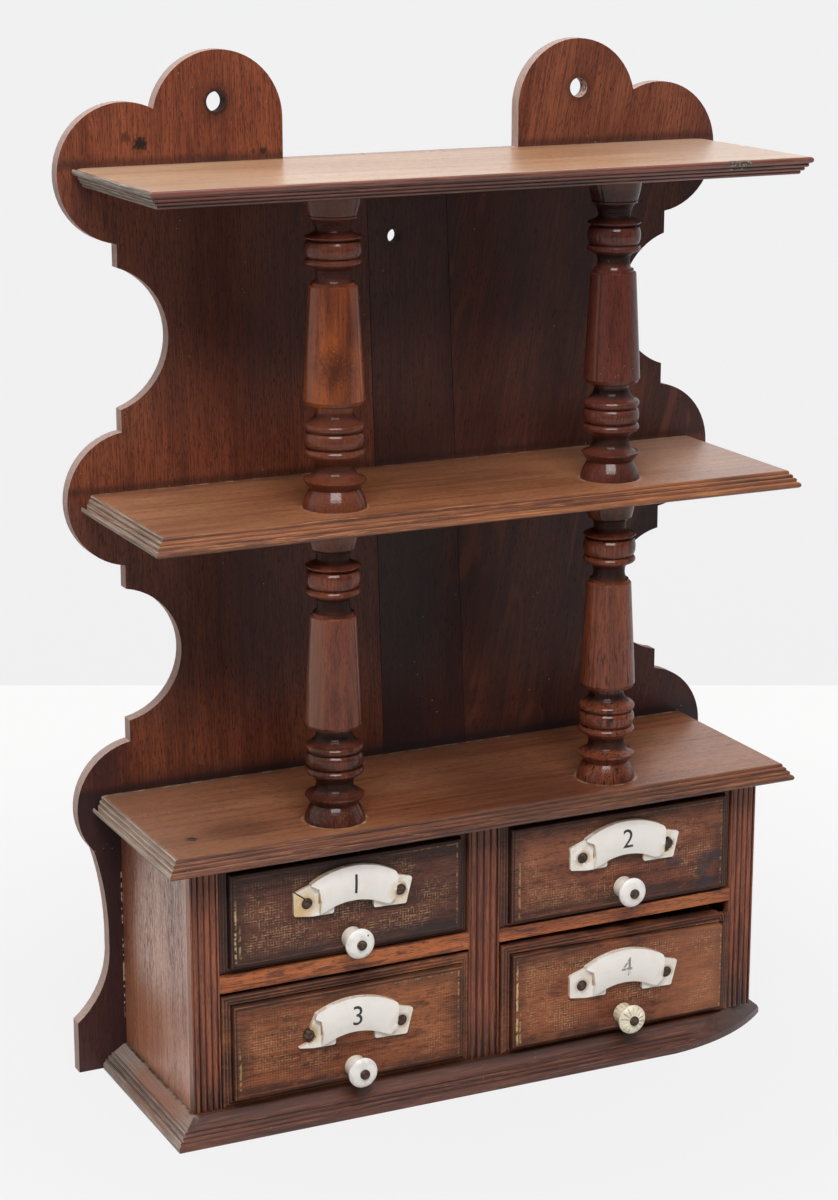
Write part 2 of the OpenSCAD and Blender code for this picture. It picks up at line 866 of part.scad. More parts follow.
back_board_left();
back_board_middle();
back_board_right();
top_shelf();
middle_shelf();
case_top();
base_board();
case_side_left();
case_side_right();
case_divider();
reeded_strip_left();
reeded_strip_middle();
reeded_strip_right();
drawer_shelf_left();
drawer_shelf_right();
drawer_guides_left();
drawer_guides_right();
column_upper_left();
column_upper_right();
column_lower_left();
column_lower_right();
drawer_front(UL);  // upper_left_front
drawer_side(UL, 0);  // upper_left_side_left
drawer_side(UL, 1);  // upper_left_side_right
drawer_back(UL);  // upper_left_back
drawer_bottom(UL);  // upper_left_bottom
drawer_label(UL);  // upper_left_label
label_pins(UL);  // upper_left_label_pins
drawer_knob(UL);  // upper_left_knob
knob_screw(UL);  // upper_left_knob_screw
drawer_front(UR);  // upper_right_front
drawer_side(UR, 0);  // upper_right_side_left
drawer_side(UR, 1);  // upper_right_side_right
drawer_back(UR);  // upper_right_back
drawer_bottom(UR);  // upper_right_bottom
drawer_label(UR);  // upper_right_label
label_pins(UR);  // upper_right_label_pins
drawer_knob(UR);  // upper_right_knob
knob_screw(UR);  // upper_right_knob_screw
drawer_front(LL);  // lower_left_front
drawer_side(LL, 0);  // lower_left_side_left
drawer_side(LL, 1);  // lower_left_side_right
drawer_back(LL);  // lower_left_back
drawer_bottom(LL);  // lower_left_bottom
drawer_label(LL);  // lower_left_label
label_pins(LL);  // lower_left_label_pins
drawer_knob(LL);  // lower_left_knob
knob_screw(LL);  // lower_left_knob_screw
drawer_front(LR);  // lower_right_front
drawer_side(LR, 0);  // lower_right_side_left
drawer_side(LR, 1);  // lower_right_side_right
drawer_back(LR);  // lower_right_back
drawer_bottom(LR);  // lower_right_bottom
drawer_label(LR);  // lower_right_label
label_pins(LR);  // lower_right_label_pins
drawer_knob(LR);  // lower_right_knob
knob_screw(LR);  // lower_right_knob_screw
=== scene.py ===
# %% [markdown]
# A small wooden spice cabinet, dressed in Blender around its CAD frame.
# The frame brings every rigid piece in its true place: boards, columns, drawers, plates and knobs.
# This script adds the camera, the light, the finishes, and the fine pieces that CAD leaves out.

# %% Load the frame
import math

import bpy
import numpy as np
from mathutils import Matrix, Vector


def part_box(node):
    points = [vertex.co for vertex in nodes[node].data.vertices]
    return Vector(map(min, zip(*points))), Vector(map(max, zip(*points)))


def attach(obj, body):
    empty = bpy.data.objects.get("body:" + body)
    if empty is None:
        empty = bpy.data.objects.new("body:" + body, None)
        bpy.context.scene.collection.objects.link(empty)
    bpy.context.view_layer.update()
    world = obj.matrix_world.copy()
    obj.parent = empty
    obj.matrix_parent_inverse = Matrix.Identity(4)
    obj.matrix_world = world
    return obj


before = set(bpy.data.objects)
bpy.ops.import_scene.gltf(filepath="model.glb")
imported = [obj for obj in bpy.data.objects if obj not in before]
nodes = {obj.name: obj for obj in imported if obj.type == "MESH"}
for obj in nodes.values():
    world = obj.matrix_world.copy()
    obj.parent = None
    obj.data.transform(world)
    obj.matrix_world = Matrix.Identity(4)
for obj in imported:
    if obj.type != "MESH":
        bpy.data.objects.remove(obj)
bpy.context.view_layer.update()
scene = bpy.context.scene
scene.view_settings.view_transform = "Standard"
MM = 0.001
print("pieces in the frame:", len(nodes))


# %% [markdown]
# The photograph was taken from the left and from a little above the top shelf's height.
# Its place was worked out from straight edges of the cabinet whose real lengths are known.
# Blender's lens is a focal length on a 36 mm wide sensor, and for an upright picture that width
# lies along the longer side, so the focal length in pixels is turned into millimetres by 36 / 1200.

# %% Camera
PHOTO_HEIGHT = 1200
FOCAL_PIXELS = 2802.7
camera_data = bpy.data.cameras.new("camera")
camera_data.lens = FOCAL_PIXELS / PHOTO_HEIGHT * 36
camera_data.clip_end = 20
camera = bpy.data.objects.new("camera", camera_data)
scene.collection.objects.link(camera)
CAMERA_PLACE = np.array([-0.5724, -1.1544, 0.5707])
YAW, PITCH = math.radians(25.73), math.radians(-14.82)
camera.location = CAMERA_PLACE
camera.rotation_euler = (math.pi / 2 + PITCH, 0, -YAW)
scene.camera = camera
print("lens in mm:", round(camera_data.lens, 2))


# %% [markdown]
# Every finish here is built from nodes, and most of a finish is arithmetic on masks.
# Wiring Math nodes by hand hides the sum, so a small class wraps a socket and lets Python's own
# operators add the nodes: `1 - mask * 0.5` makes two Math nodes and reads like the formula.

# %% Shader arithmetic
class Wire:
    """One output socket; adding, multiplying and so on lay down a Math node."""

    def __init__(self, shader, socket):
        self.shader = shader
        self.socket = socket

    def math(self, operation, *others):
        values = {i + 1: other for i, other in enumerate(others)}
        return self.shader.node("ShaderNodeMath", {"operation": operation}, {0: self, **values})

    def __add__(self, other):
        return self.math("ADD", other)

    def __sub__(self, other):
        return self.math("SUBTRACT", other)

    def __rsub__(self, other):
        return (self * -1.0).math("ADD", other)

    def __mul__(self, other):
        return self.math("MULTIPLY", other)

    def __truediv__(self, other):
        return self.math("DIVIDE", other)

    def __pow__(self, other):
        return self.math("POWER", other)

    __radd__ = __add__
    __rmul__ = __mul__

    def ramp(self, low, high):
        """0 below low, 1 above high, smooth between; low may be the larger one."""
        flip = low > high
        ends = {"From Min": min(low, high), "From Max": max(low, high)}
        step = self.shader.node(
            "ShaderNodeMapRange", {"interpolation_type": "SMOOTHSTEP"}, {"Value": self, **ends}
        )
        return 1 - step if flip else step

    def near(self, place, width):
        """1 at a place, falling to 0 at a distance of width on either side."""
        return (self - place).math("ABSOLUTE").ramp(width, 0)


class Finish:
    """A new material, its Principled shader, and one method that adds any node to it."""

    def __init__(self, name):
        self.material = bpy.data.materials.new(name)
        self.material.use_nodes = True
        self.tree = self.material.node_tree
        self.shader = self.tree.nodes["Principled BSDF"]
        self.place = self.node("ShaderNodeTexCoord", out="Object")

    def node(self, kind, settings=None, inputs=None, out=0):
        made = self.tree.nodes.new(kind)
        for key, value in (settings or {}).items():
            setattr(made, key, value)
        for key, value in (inputs or {}).items():
            self.put(made.inputs[key], value)
        return Wire(self, made.outputs[out])

    def put(self, socket, value):
        if isinstance(value, Wire):
            self.tree.links.new(value.socket, socket)
        else:
            socket.default_value = value

    def set(self, **values):
        """Sets sockets of the Principled shader; underscores stand for spaces."""
        for key, value in values.items():
            self.put(self.shader.inputs[key.replace("_", " ")], value)
        return self.material

    def axes(self, vector=None):
        split = self.node("ShaderNodeSeparateXYZ", inputs={0: vector or self.place})
        outputs = split.socket.node.outputs
        return [Wire(self, outputs[i]) for i in range(3)]

    def facing(self):
        """The surface's own direction, as three wires; up is +Z."""
        return self.axes(self.node("ShaderNodeTexCoord", out="Normal"))

    def moved(self, scale, shift=(0, 0, 0), turn=(0, 0, 0)):
        values = {"Vector": self.place, "Scale": scale, "Location": shift, "Rotation": turn}
        return self.node("ShaderNodeMapping", inputs=values)

    def noise(self, vector, scale=1.0, detail=2.0, rough=0.5, twist=0.0):
        values = {"Vector": vector, "Scale": scale, "Detail": detail, "Roughness": rough, "Distortion": twist}
        return self.node("ShaderNodeTexNoise", inputs=values)

    def mix(self, a, b, amount, blend="MIX"):
        settings = {"data_type": "RGBA", "blend_type": blend}
        made = self.node("ShaderNodeMix", settings, {"Factor": amount}, out="Result")
        mixer = made.socket.node
        self.put(mixer.inputs["A"], colour(a))
        self.put(mixer.inputs["B"], colour(b))
        return Wire(self, mixer.outputs["Result"])

    def bump(self, height, depth, strength=1.0):
        return self.node(
            "ShaderNodeBump", inputs={"Height": height, "Distance": depth, "Strength": strength}, out="Normal"
        )


def colour(value):
    """A wire as it is, or three sRGB values from 0 to 255 as a linear colour."""
    if isinstance(value, Wire):
        return value
    parts = [v / 255 for v in value]
    linear = [v / 12.92 if v < 0.04045 else ((v + 0.055) / 1.055) ** 2.4 for v in parts]
    return (*linear, 1.0)


print("shader tools ready")


# %% [markdown]
# The cabinet stands on a white surface in front of a pale wall, lit by soft light from high up.
# The bays under the shelves are dark in the photograph, so most light has to come from above,
# and little from the front. The pale sheen on the shelf tops and on the case's side is the
# bright room mirrored in old varnish: that is what glossy rays find in the world. The wall is
# clear from behind, so that the cabinet's back can be looked at too, and the room is pale there.

# %% Stage and light
def plain_quad(name, corners, material):
    mesh = bpy.data.meshes.new(name)
    mesh.from_pydata(corners, [], [(0, 1, 2, 3)])
    mesh.materials.append(material)
    piece = bpy.data.objects.new(name, mesh)
    scene.collection.objects.link(piece)
    return piece


PAINT = (206, 204, 202)


def stage_material(name, tone, shade_tone, glow, one_sided=False):
    """Matt paint that the camera and mirrors see mostly as a plain tone, with painted shade near the cabinet."""
    paint = Finish(name)
    paint.set(Base_Color=colour(PAINT), Roughness=0.9, Specular_IOR_Level=0.1)
    seen = paint.node("ShaderNodeLightPath", out="Is Camera Ray")
    mirrored = paint.node("ShaderNodeLightPath", out="Is Glossy Ray")
    x, y, _ = paint.axes()
    distance = (x * x + y * y) ** 0.5
    # Painted shade near the cabinet: the shade tone blends into the plain tone within about 0.6 m.
    shown = paint.mix(shade_tone, tone, distance.ramp(0.05, 0.6))
    light = paint.node("ShaderNodeEmission", inputs={"Color": shown, "Strength": 1.0})
    output = paint.tree.nodes["Material Output"]
    shader = Wire(paint, paint.shader.outputs[0])
    blend = paint.node("ShaderNodeMixShader", inputs={0: (seen + mirrored) * glow, 1: shader, 2: light})
    if one_sided:
        from_behind = paint.node("ShaderNodeNewGeometry", out="Backfacing") * seen
        clear = paint.node("ShaderNodeBsdfTransparent")
        blend = paint.node("ShaderNodeMixShader", inputs={0: from_behind, 1: blend, 2: clear})
    paint.put(output.inputs["Surface"], blend)
    return paint.material


forward = np.array([math.sin(YAW), math.cos(YAW), 0])
sideways = np.array([math.cos(YAW), -math.sin(YAW), 0])
FLOOR_END = 1.919
ground_point = np.array([CAMERA_PLACE[0], CAMERA_PLACE[1], 0])
back_middle = ground_point + forward * FLOOR_END
FLOOR_HALF = 3
floor_corners = [
    (-FLOOR_HALF, -FLOOR_HALF, 0),
    (FLOOR_HALF, -FLOOR_HALF, 0),
    (FLOOR_HALF, FLOOR_HALF, 0),
    (-FLOOR_HALF, FLOOR_HALF, 0),
]
plain_quad("floor", floor_corners, stage_material("floor_paint", (255, 255, 255), (244, 243, 244), 0.92))
wall_corners = [
    back_middle - sideways * 3,
    back_middle + sideways * 3,
    back_middle + sideways * 3 + np.array([0, 0, 3]),
    back_middle - sideways * 3 + np.array([0, 0, 3]),
]
wall_paint = stage_material("backdrop_paint", (243, 243, 244), (243, 243, 244), 0.95, one_sided=True)
plain_quad("backdrop", wall_corners, wall_paint)


def soft_lamp(name, place, target, size, power, tint=(1, 1, 1)):
    data = bpy.data.lights.new(name, "AREA")
    data.shape = "RECTANGLE"
    data.size, data.size_y = size
    data.energy = power
    data.color = tint
    lamp = bpy.data.objects.new(name, data)
    scene.collection.objects.link(lamp)
    lamp.location = place
    aim = np.array(target) - np.array(place)
    length = np.linalg.norm(aim)
    lamp.rotation_euler = (math.acos(-aim[2] / length), 0, math.atan2(aim[0], -aim[1]) + math.pi)
    return lamp


middle = (0, 0, 0.25)
soft_lamp("key_lamp", (-0.45, -1.15, 1.72), middle, (1.2, 0.8), 38)
soft_lamp("overhead_lamp", (0.0, -0.1, 2.1), middle, (2.0, 1.4), 10)

world = bpy.data.worlds.new("room")
scene.world = world
world.use_nodes = True
room = world.node_tree
background = room.nodes["Background"]


def room_node(kind, inputs, operation=None):
    made = room.nodes.new(kind)
    if operation:
        made.operation = operation
    for key, value in inputs.items():
        if isinstance(value, bpy.types.NodeSocket):
            room.links.new(value, made.inputs[key])
        else:
            made.inputs[key].default_value = value
    return made


direction = room_node("ShaderNodeSeparateXYZ", {0: room_node("ShaderNodeTexCoord", {}).outputs["Generated"]})
behind = room_node("ShaderNodeMapRange", {0: direction.outputs["Y"], 1: -0.75, 2: 0.1, 3: 0.06, 4: 0.95})
light_path = room_node("ShaderNodeLightPath", {})
is_glossy, is_camera = light_path.outputs["Is Glossy Ray"], light_path.outputs["Is Camera Ray"]
AMBIENT, SEEN = 0.10, 0.87
extra = room_node("ShaderNodeMath", {0: behind.outputs[0], 1: AMBIENT}, "SUBTRACT")
lit = room_node("ShaderNodeMath", {0: is_glossy, 1: extra.outputs[0], 2: AMBIENT}, "MULTIPLY_ADD")
strength = room_node("ShaderNodeMath", {0: is_camera, 1: SEEN, 2: lit.outputs[0]}, "MULTIPLY_ADD")
room.links.new(strength.outputs[0], background.inputs["Strength"])
background.inputs["Color"].default_value = (1.0, 0.985, 0.965, 1)


# %% [markdown]
# The wood is a coarse, dark-stained hardwood with open pores. Real grain is one solid pattern that
# every board cuts through, so the finish is worked out in space, stretched along the board's length.
# Four layers make it: broad clouds of tone, growth bands, fine fibres, and short dark pores. Each
# board gets its own shift, as if it were cut from another place of the plank.

# %% Stained wood
def grain_frame(finish, along, seed, slant=0.0):
    """The object's coordinates turned so that Z runs along the grain and shifted for this board."""
    turns = {"x": (0, math.pi / 2, 0), "y": (math.pi / 2, 0, 0), "z": (0, 0, 0)}
    rng = np.random.default_rng(seed)
    shift = tuple(rng.uniform(-5, 5, 3))
    turn = turns[along]
    turn = (turn[0], turn[1] + slant, turn[2])
    return finish.moved((1, 1, 1), shift, turn)


def stretched(finish, vector, across, along):
    scale = (across, across, along)
    return finish.node("ShaderNodeVectorMath", {"operation": "MULTIPLY"}, {0: vector, 1: scale})


def stained_wood(name, along, seed, tones, slant=0.0, pore=0.5, depth=0.00012, mottle=0.65, fine=1.0, even=0.0):
    """Dark, middle and light tone, mixed by the grain; keeps the colour and the masks so far."""
    dark, middle_tone, light = tones
    finish = Finish(name)
    finish.x, finish.y, finish.z = [axis * 1000 for axis in finish.axes()]
    finish.nx, finish.ny, finish.nz = finish.facing()
    base = grain_frame(finish, along, seed, slant)
    clouds = finish.noise(stretched(finish, base, 22, 7), detail=4, rough=0.6)
    bands = finish.noise(stretched(finish, base, 240, 7), detail=3, rough=0.6, twist=0.4)
    fibres = finish.noise(stretched(finish, base, 1300, 50), detail=3, rough=0.7)
    pores = finish.noise(stretched(finish, base, 2300, 300), detail=1, rough=0.4).ramp(0.42, 0.34)
    body = finish.mix(dark, middle_tone, bands.ramp(0.3, 0.6) * (1 - even) + even)
    body = finish.mix(body, light, clouds.ramp(0.42, 0.7) * mottle)
    body = finish.mix(body, dark, clouds.ramp(0.46, 0.28) * mottle)
    body = finish.mix(body, dark, fibres.ramp(0.54, 0.36) * (0.55 * fine))
    body = finish.mix(body, light, fibres.ramp(0.58, 0.75) * (0.4 * fine))
    body = finish.mix(body, [0.4 * part for part in dark], pores * pore)
    finish.body = body
    finish.base = base
    finish.clouds, finish.bands, finish.fibres, finish.pores = clouds, bands, fibres, pores
    finish.height = fibres * 0.4 - pores
    finish.depth = depth
    return finish


def stain(finish, tone, amount):
    """Lays one more tone over the wood where amount is above 0."""
    finish.body = finish.mix(finish.body, tone, amount)
    return finish


def varnish(finish, rough=0.42, coat=0.3, coat_rough=0.22, dull=None, specular=0.35):
    """Closes a wood finish: old varnish, duller where the pores, fibres and dust are."""
    roughness = (finish.fibres - 0.5) * 0.25 + finish.pores * 0.2 + rough
    weight = coat
    if dull is not None:
        roughness = roughness + dull * 0.3
        weight = (1 - dull) * coat
    return finish.set(
        Base_Color=finish.body,
        Roughness=roughness,
        Specular_IOR_Level=specular,
        Coat_Weight=weight,
        Coat_Roughness=coat_rough,
        Normal=finish.bump(finish.height, finish.depth, 0.6),
    )


def dress(name, material):
    """Puts one finish on one CAD piece."""
    piece = nodes[name]
    piece.data.materials.clear()
    piece.data.materials.append(material)


def corners(name):
    """Lowest and highest corner of a CAD piece, in millimetres."""
    low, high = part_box(name)
    return np.array(low) * 1000, np.array(high) * 1000


print("wood tools ready; the case is", np.round(corners("case_top")[1] - corners("base_board")[0], 1))


# %% [markdown]
# A century in a kitchen leaves its own layers: dark grime in corners, pale dust where boards meet, flecks of lime, and
# worn edges. Part of the dark in corners, creases and under shelves is painted shade laid with the grime. Each is a
# mask times a little noise, so that no line is even. Places are written in millimetres, as on a drawing.

# %% Wear masks
# Dark grime; in corners, grooves and under things it also serves as painted shade.
GRIME_AND_SHADE = (30, 21, 19)
DUST = (176, 160, 140)


def broken(finish, scale=300, low=0.45, high=0.6, seed=0.0):
    """Noise with hard edges, to break up lines and rims."""
    return finish.noise(finish.moved((1, 1, 1), (seed, 0, 0)), scale=scale, detail=2).ramp(low, high)


def spot(finish, place, radius, soft=0.6):
    """1 inside a round spot at a place (x, y, z) in millimetres, with a ragged rim."""
    dx, dy, dz = finish.x - place[0], finish.y - place[1], finish.z - place[2]
    distance = (dx * dx + dy * dy + dz * dz) ** 0.5
    ragged = distance + (finish.noise(finish.place, scale=700, detail=2) - 0.5) * radius
    return ragged.ramp(radius, radius * (1 - soft))


def round_place(finish, place):
    """Distance in millimetres from an axis that runs front to back through (x, z)."""
    dx, dz = finish.x - place[0], finish.z - place[1]
    return (dx * dx + dz * dz) ** 0.5


def line(finish, axis, place, width):
    """1 on a plane at a place along one axis, thin, in millimetres."""
    return axis.near(place, width)


def flecks(finish, scale=420, size=0.16, seed=3.0, amount=0.5):
    """Tiny pale specks, one in some of the cells of a Voronoi pattern."""
    vector = finish.moved((1, 1, 1), (seed, seed, 0))
    cells = finish.node("ShaderNodeTexVoronoi", inputs={"Vector": vector, "Scale": scale}, out="Distance")
    some = finish.noise(vector, scale=40, detail=1).ramp(0.62 - amount * 0.2, 0.7)
    return cells.ramp(size, size * 0.5) * some


print("wear tools ready")


# %% [markdown]
# The three back boards stand upright, red-brown, with the grain running up and the right one cut aslant, so its figure
# leans. Under each shelf they get painted shade, almost black, which fades out towards the bottom of each bay. The
# sawn edges get a pale painted reflection of the bright room, and a knot shows on the left ear.

# %% Back boards
FOOT_TOP = corners("base_board")[1][2]
CASE_TOP = corners("case_top")[1][2]
MIDDLE_TOP = corners("middle_shelf")[1][2]
TOP_TOP = corners("top_shelf")[1][2]
CASE_LEFT = corners("case_side_left")[0][0]
WALL_Y = corners("top_shelf")[1][1]
RUSSET = ((80, 38, 26), (122, 63, 41), (152, 88, 58))
DARK_RUSSET = ((70, 34, 25), (108, 57, 40), (138, 80, 56))
SMOKED = ((56, 28, 24), (88, 46, 34), (112, 62, 44))
BACKS = {
    "back_board_left": (RUSSET, 0.02),
    "back_board_middle": (SMOKED, 0.0),
    "back_board_right": (DARK_RUSSET, -0.18),
}


def bay_shade(finish):
    """Painted shade in the bays: strongest under the shelves, gone just above them, weaker towards the left end."""
    mask = None
    for floor_z, roof_z in ((CASE_TOP, MIDDLE_TOP), (MIDDLE_TOP, TOP_TOP)):
        low_part = finish.z.ramp(floor_z + 4, floor_z + 75).math("MAXIMUM", finish.x.ramp(-60, -10) * 0.85)
        bay = low_part * finish.z.ramp(floor_z, floor_z + 3) * finish.z.ramp(roof_z + 1, roof_z - 6)
        mask = bay if mask is None else mask + bay
    sideways_in = finish.x.ramp(-150, -60) * 0.54 + 0.36
    return mask * sideways_in * (finish.clouds.ramp(0.75, 0.3) * 0.4 + 0.6)


for number, (name, (tones, slant)) in enumerate(BACKS.items()):
    board = stained_wood(name + "_wood", "z", 11 + number, tones, slant=slant, mottle=0.55, even=0.4, pore=0.58, fine=1.2)
    figure = board.noise(stretched(board, board.base, 90, 16), detail=2, twist=1.2)
    stain(board, tones[2], figure.ramp(0.58, 0.7) * (0.45 if number == 2 else 0.15))
    growth = board.noise(stretched(board, board.base, 420, 5), detail=1)
    stain(board, tones[0], growth.near(0.5, 0.025) * 0.5 + growth.near(0.42, 0.02) * 0.4)
    front = board.ny.ramp(0.3, -0.3)
    # Painted shade in the bays, where the shelf above keeps the light off.
    stain(board, (40, 25, 27), bay_shade(board) * front * (0.68 if number == 0 else 0.88))
    if number == 2:
        stain(board, (112, 62, 44), figure.ramp(0.56, 0.72) * front * board.z.ramp(430, 420) * 0.4)
    low_left = board.z.ramp(152, 138).math("MAXIMUM", board.z.ramp(215, 160) * board.x.ramp(-140, -156) * 0.7)
    stain(board, (41, 26, 31), low_left * front * (board.clouds.ramp(0.7, 0.35) * 0.15 + 0.82))
    joint = line(board, board.x, CASE_LEFT - 0.5, 0.5) * broken(board, 420, 0.48, 0.56, 1.0)
    stain(board, (226, 206, 158), joint * front * board.z.ramp(104, 98) * board.z.ramp(20, 34) * 0.85)
    for shelf_z in (CASE_TOP, MIDDLE_TOP, TOP_TOP):
        # Grime and painted shade in the corner just above each shelf.
        dirt_and_shade = line(board, board.z, shelf_z + 1.5, 4) * front
        stain(board, GRIME_AND_SHADE, dirt_and_shade * 0.55)
    low, high = corners(name)
    if number == 0:
        stain(board, (20, 14, 13), spot(board, (-131.6, WALL_Y, 445.8), 4.6) * 0.95)
        stain(board, (34, 18, 15), spot(board, (-138.5, WALL_Y, 449), 3.0) * 0.6)
        stain(board, (34, 18, 15), spot(board, (-71.5, WALL_Y, 440.3), 2.4) * 0.85)
        stain(board, (34, 18, 15), spot(board, (-76.5, WALL_Y, 440.5), 1.6) * 0.6)
    stain(board, (202, 178, 150), flecks(board, 300, 0.1, 2.0 + number, 0.3) * 0.8)
    raw = board.mix((92, 66, 50), (138, 104, 80), board.bands.ramp(0.3, 0.6) * 0.6 + board.fibres.ramp(0.4, 0.7) * 0.4)
    stain(board, raw, board.ny.ramp(0.4, 0.8) * 0.85)
    stain(board, (58, 44, 38), board.ny.ramp(0.4, 0.8) * board.clouds.ramp(0.52, 0.38) * 0.45)
    sides = (board.ny * board.ny).ramp(0.5, 0.3)
    in_seam = board.x.ramp(-34, -28) * board.x.ramp(54, 48) * (board.nx * board.nx).ramp(0.5, 0.8)
    stain(board, GRIME_AND_SHADE, sides * in_seam * 0.85)
    sawn_sheen = sides * (1 - in_seam)
    ragged = (board.noise(board.place, scale=650, detail=2) - 0.5) * 3.4
    rims = None
    for hole, size in (((-94.3, 463.5), 6.1), ((-4.7, 397.2), 4.6)):
        rim = (round_place(board, hole) + ragged).ramp(size + 0.5, size - 0.7)
        rims = rim if rims is None else rims + rim
        # A soft painted shadow round the hole.
        stain(board, (58, 30, 22), round_place(board, hole).ramp(size + 6, size) * 0.4)
    right_hole = round_place(board, (94.3, 463.5))
    stain(board, (54, 28, 21), (right_hole + ragged).ramp(9, 5) * 0.5)
    # The sawn edges get a pale painted reflection of the bright room.
    stain(board, (202, 176, 166), sawn_sheen * (1 - rims) * (board.fibres.ramp(0.3, 0.6) * 0.3 + 0.62))
    stain(board, (46, 25, 19), rims * 0.82)
    stain(board, (74, 44, 34), right_hole.ramp(5.4, 5.0) * broken(board, 500, 0.5, 0.6, 3.0) * 0.8)
    dress(name, varnish(board, rough=0.5, coat=0.1, dull=sides, specular=0.25))
print("back boards:", len(BACKS))


# %% [markdown]
# The flat boards are lighter on top, where hands have rubbed them, than on their moulded edges. Their left ends are
# grey with dust that has settled in the beads. Where a board meets the back, a thin pale line of dust lies in the
# corner beside a band of grime and painted shade, and rings of dust lie round the feet of the columns. The tops get
# painted light on their left ends, a painted sheen on their right ends, and painted shade in the middle of the middle
# shelf and of the case top.

# %% Flat boards
FEET = {
    "middle_shelf": [(-67.9, -19.6), (75.2, -19.6)],
    "case_top": [(-72.4, -26.9), (71.5, -26.9)],
}
FLAT = {
    "top_shelf": ((170, 122, 86), (206, 158, 118), (224, 184, 148)),
    "middle_shelf": ((116, 66, 40), (162, 102, 66), (190, 134, 96)),
    "case_top": ((112, 62, 38), (146, 88, 56), (172, 118, 82)),
    "base_board": ((82, 44, 32), (116, 66, 46), (138, 86, 62)),
}
EDGES = {
    "top_shelf": ((66, 33, 25), (110, 57, 43), (134, 80, 63)),
    "middle_shelf": ((84, 44, 26), (136, 80, 46), (176, 114, 70)),
    "case_top": ((78, 41, 28), (122, 72, 48), (156, 102, 70)),
    "base_board": ((60, 34, 28), (96, 56, 44), (126, 80, 64)),
}
END_DUST = {
    "top_shelf": ((118, 102, 92), (196, 184, 172)),
    "middle_shelf": ((112, 95, 84), (176, 160, 144)),
    "case_top": ((152, 136, 122), (196, 182, 168)),
    "base_board": ((132, 116, 106), (206, 194, 182)),
}
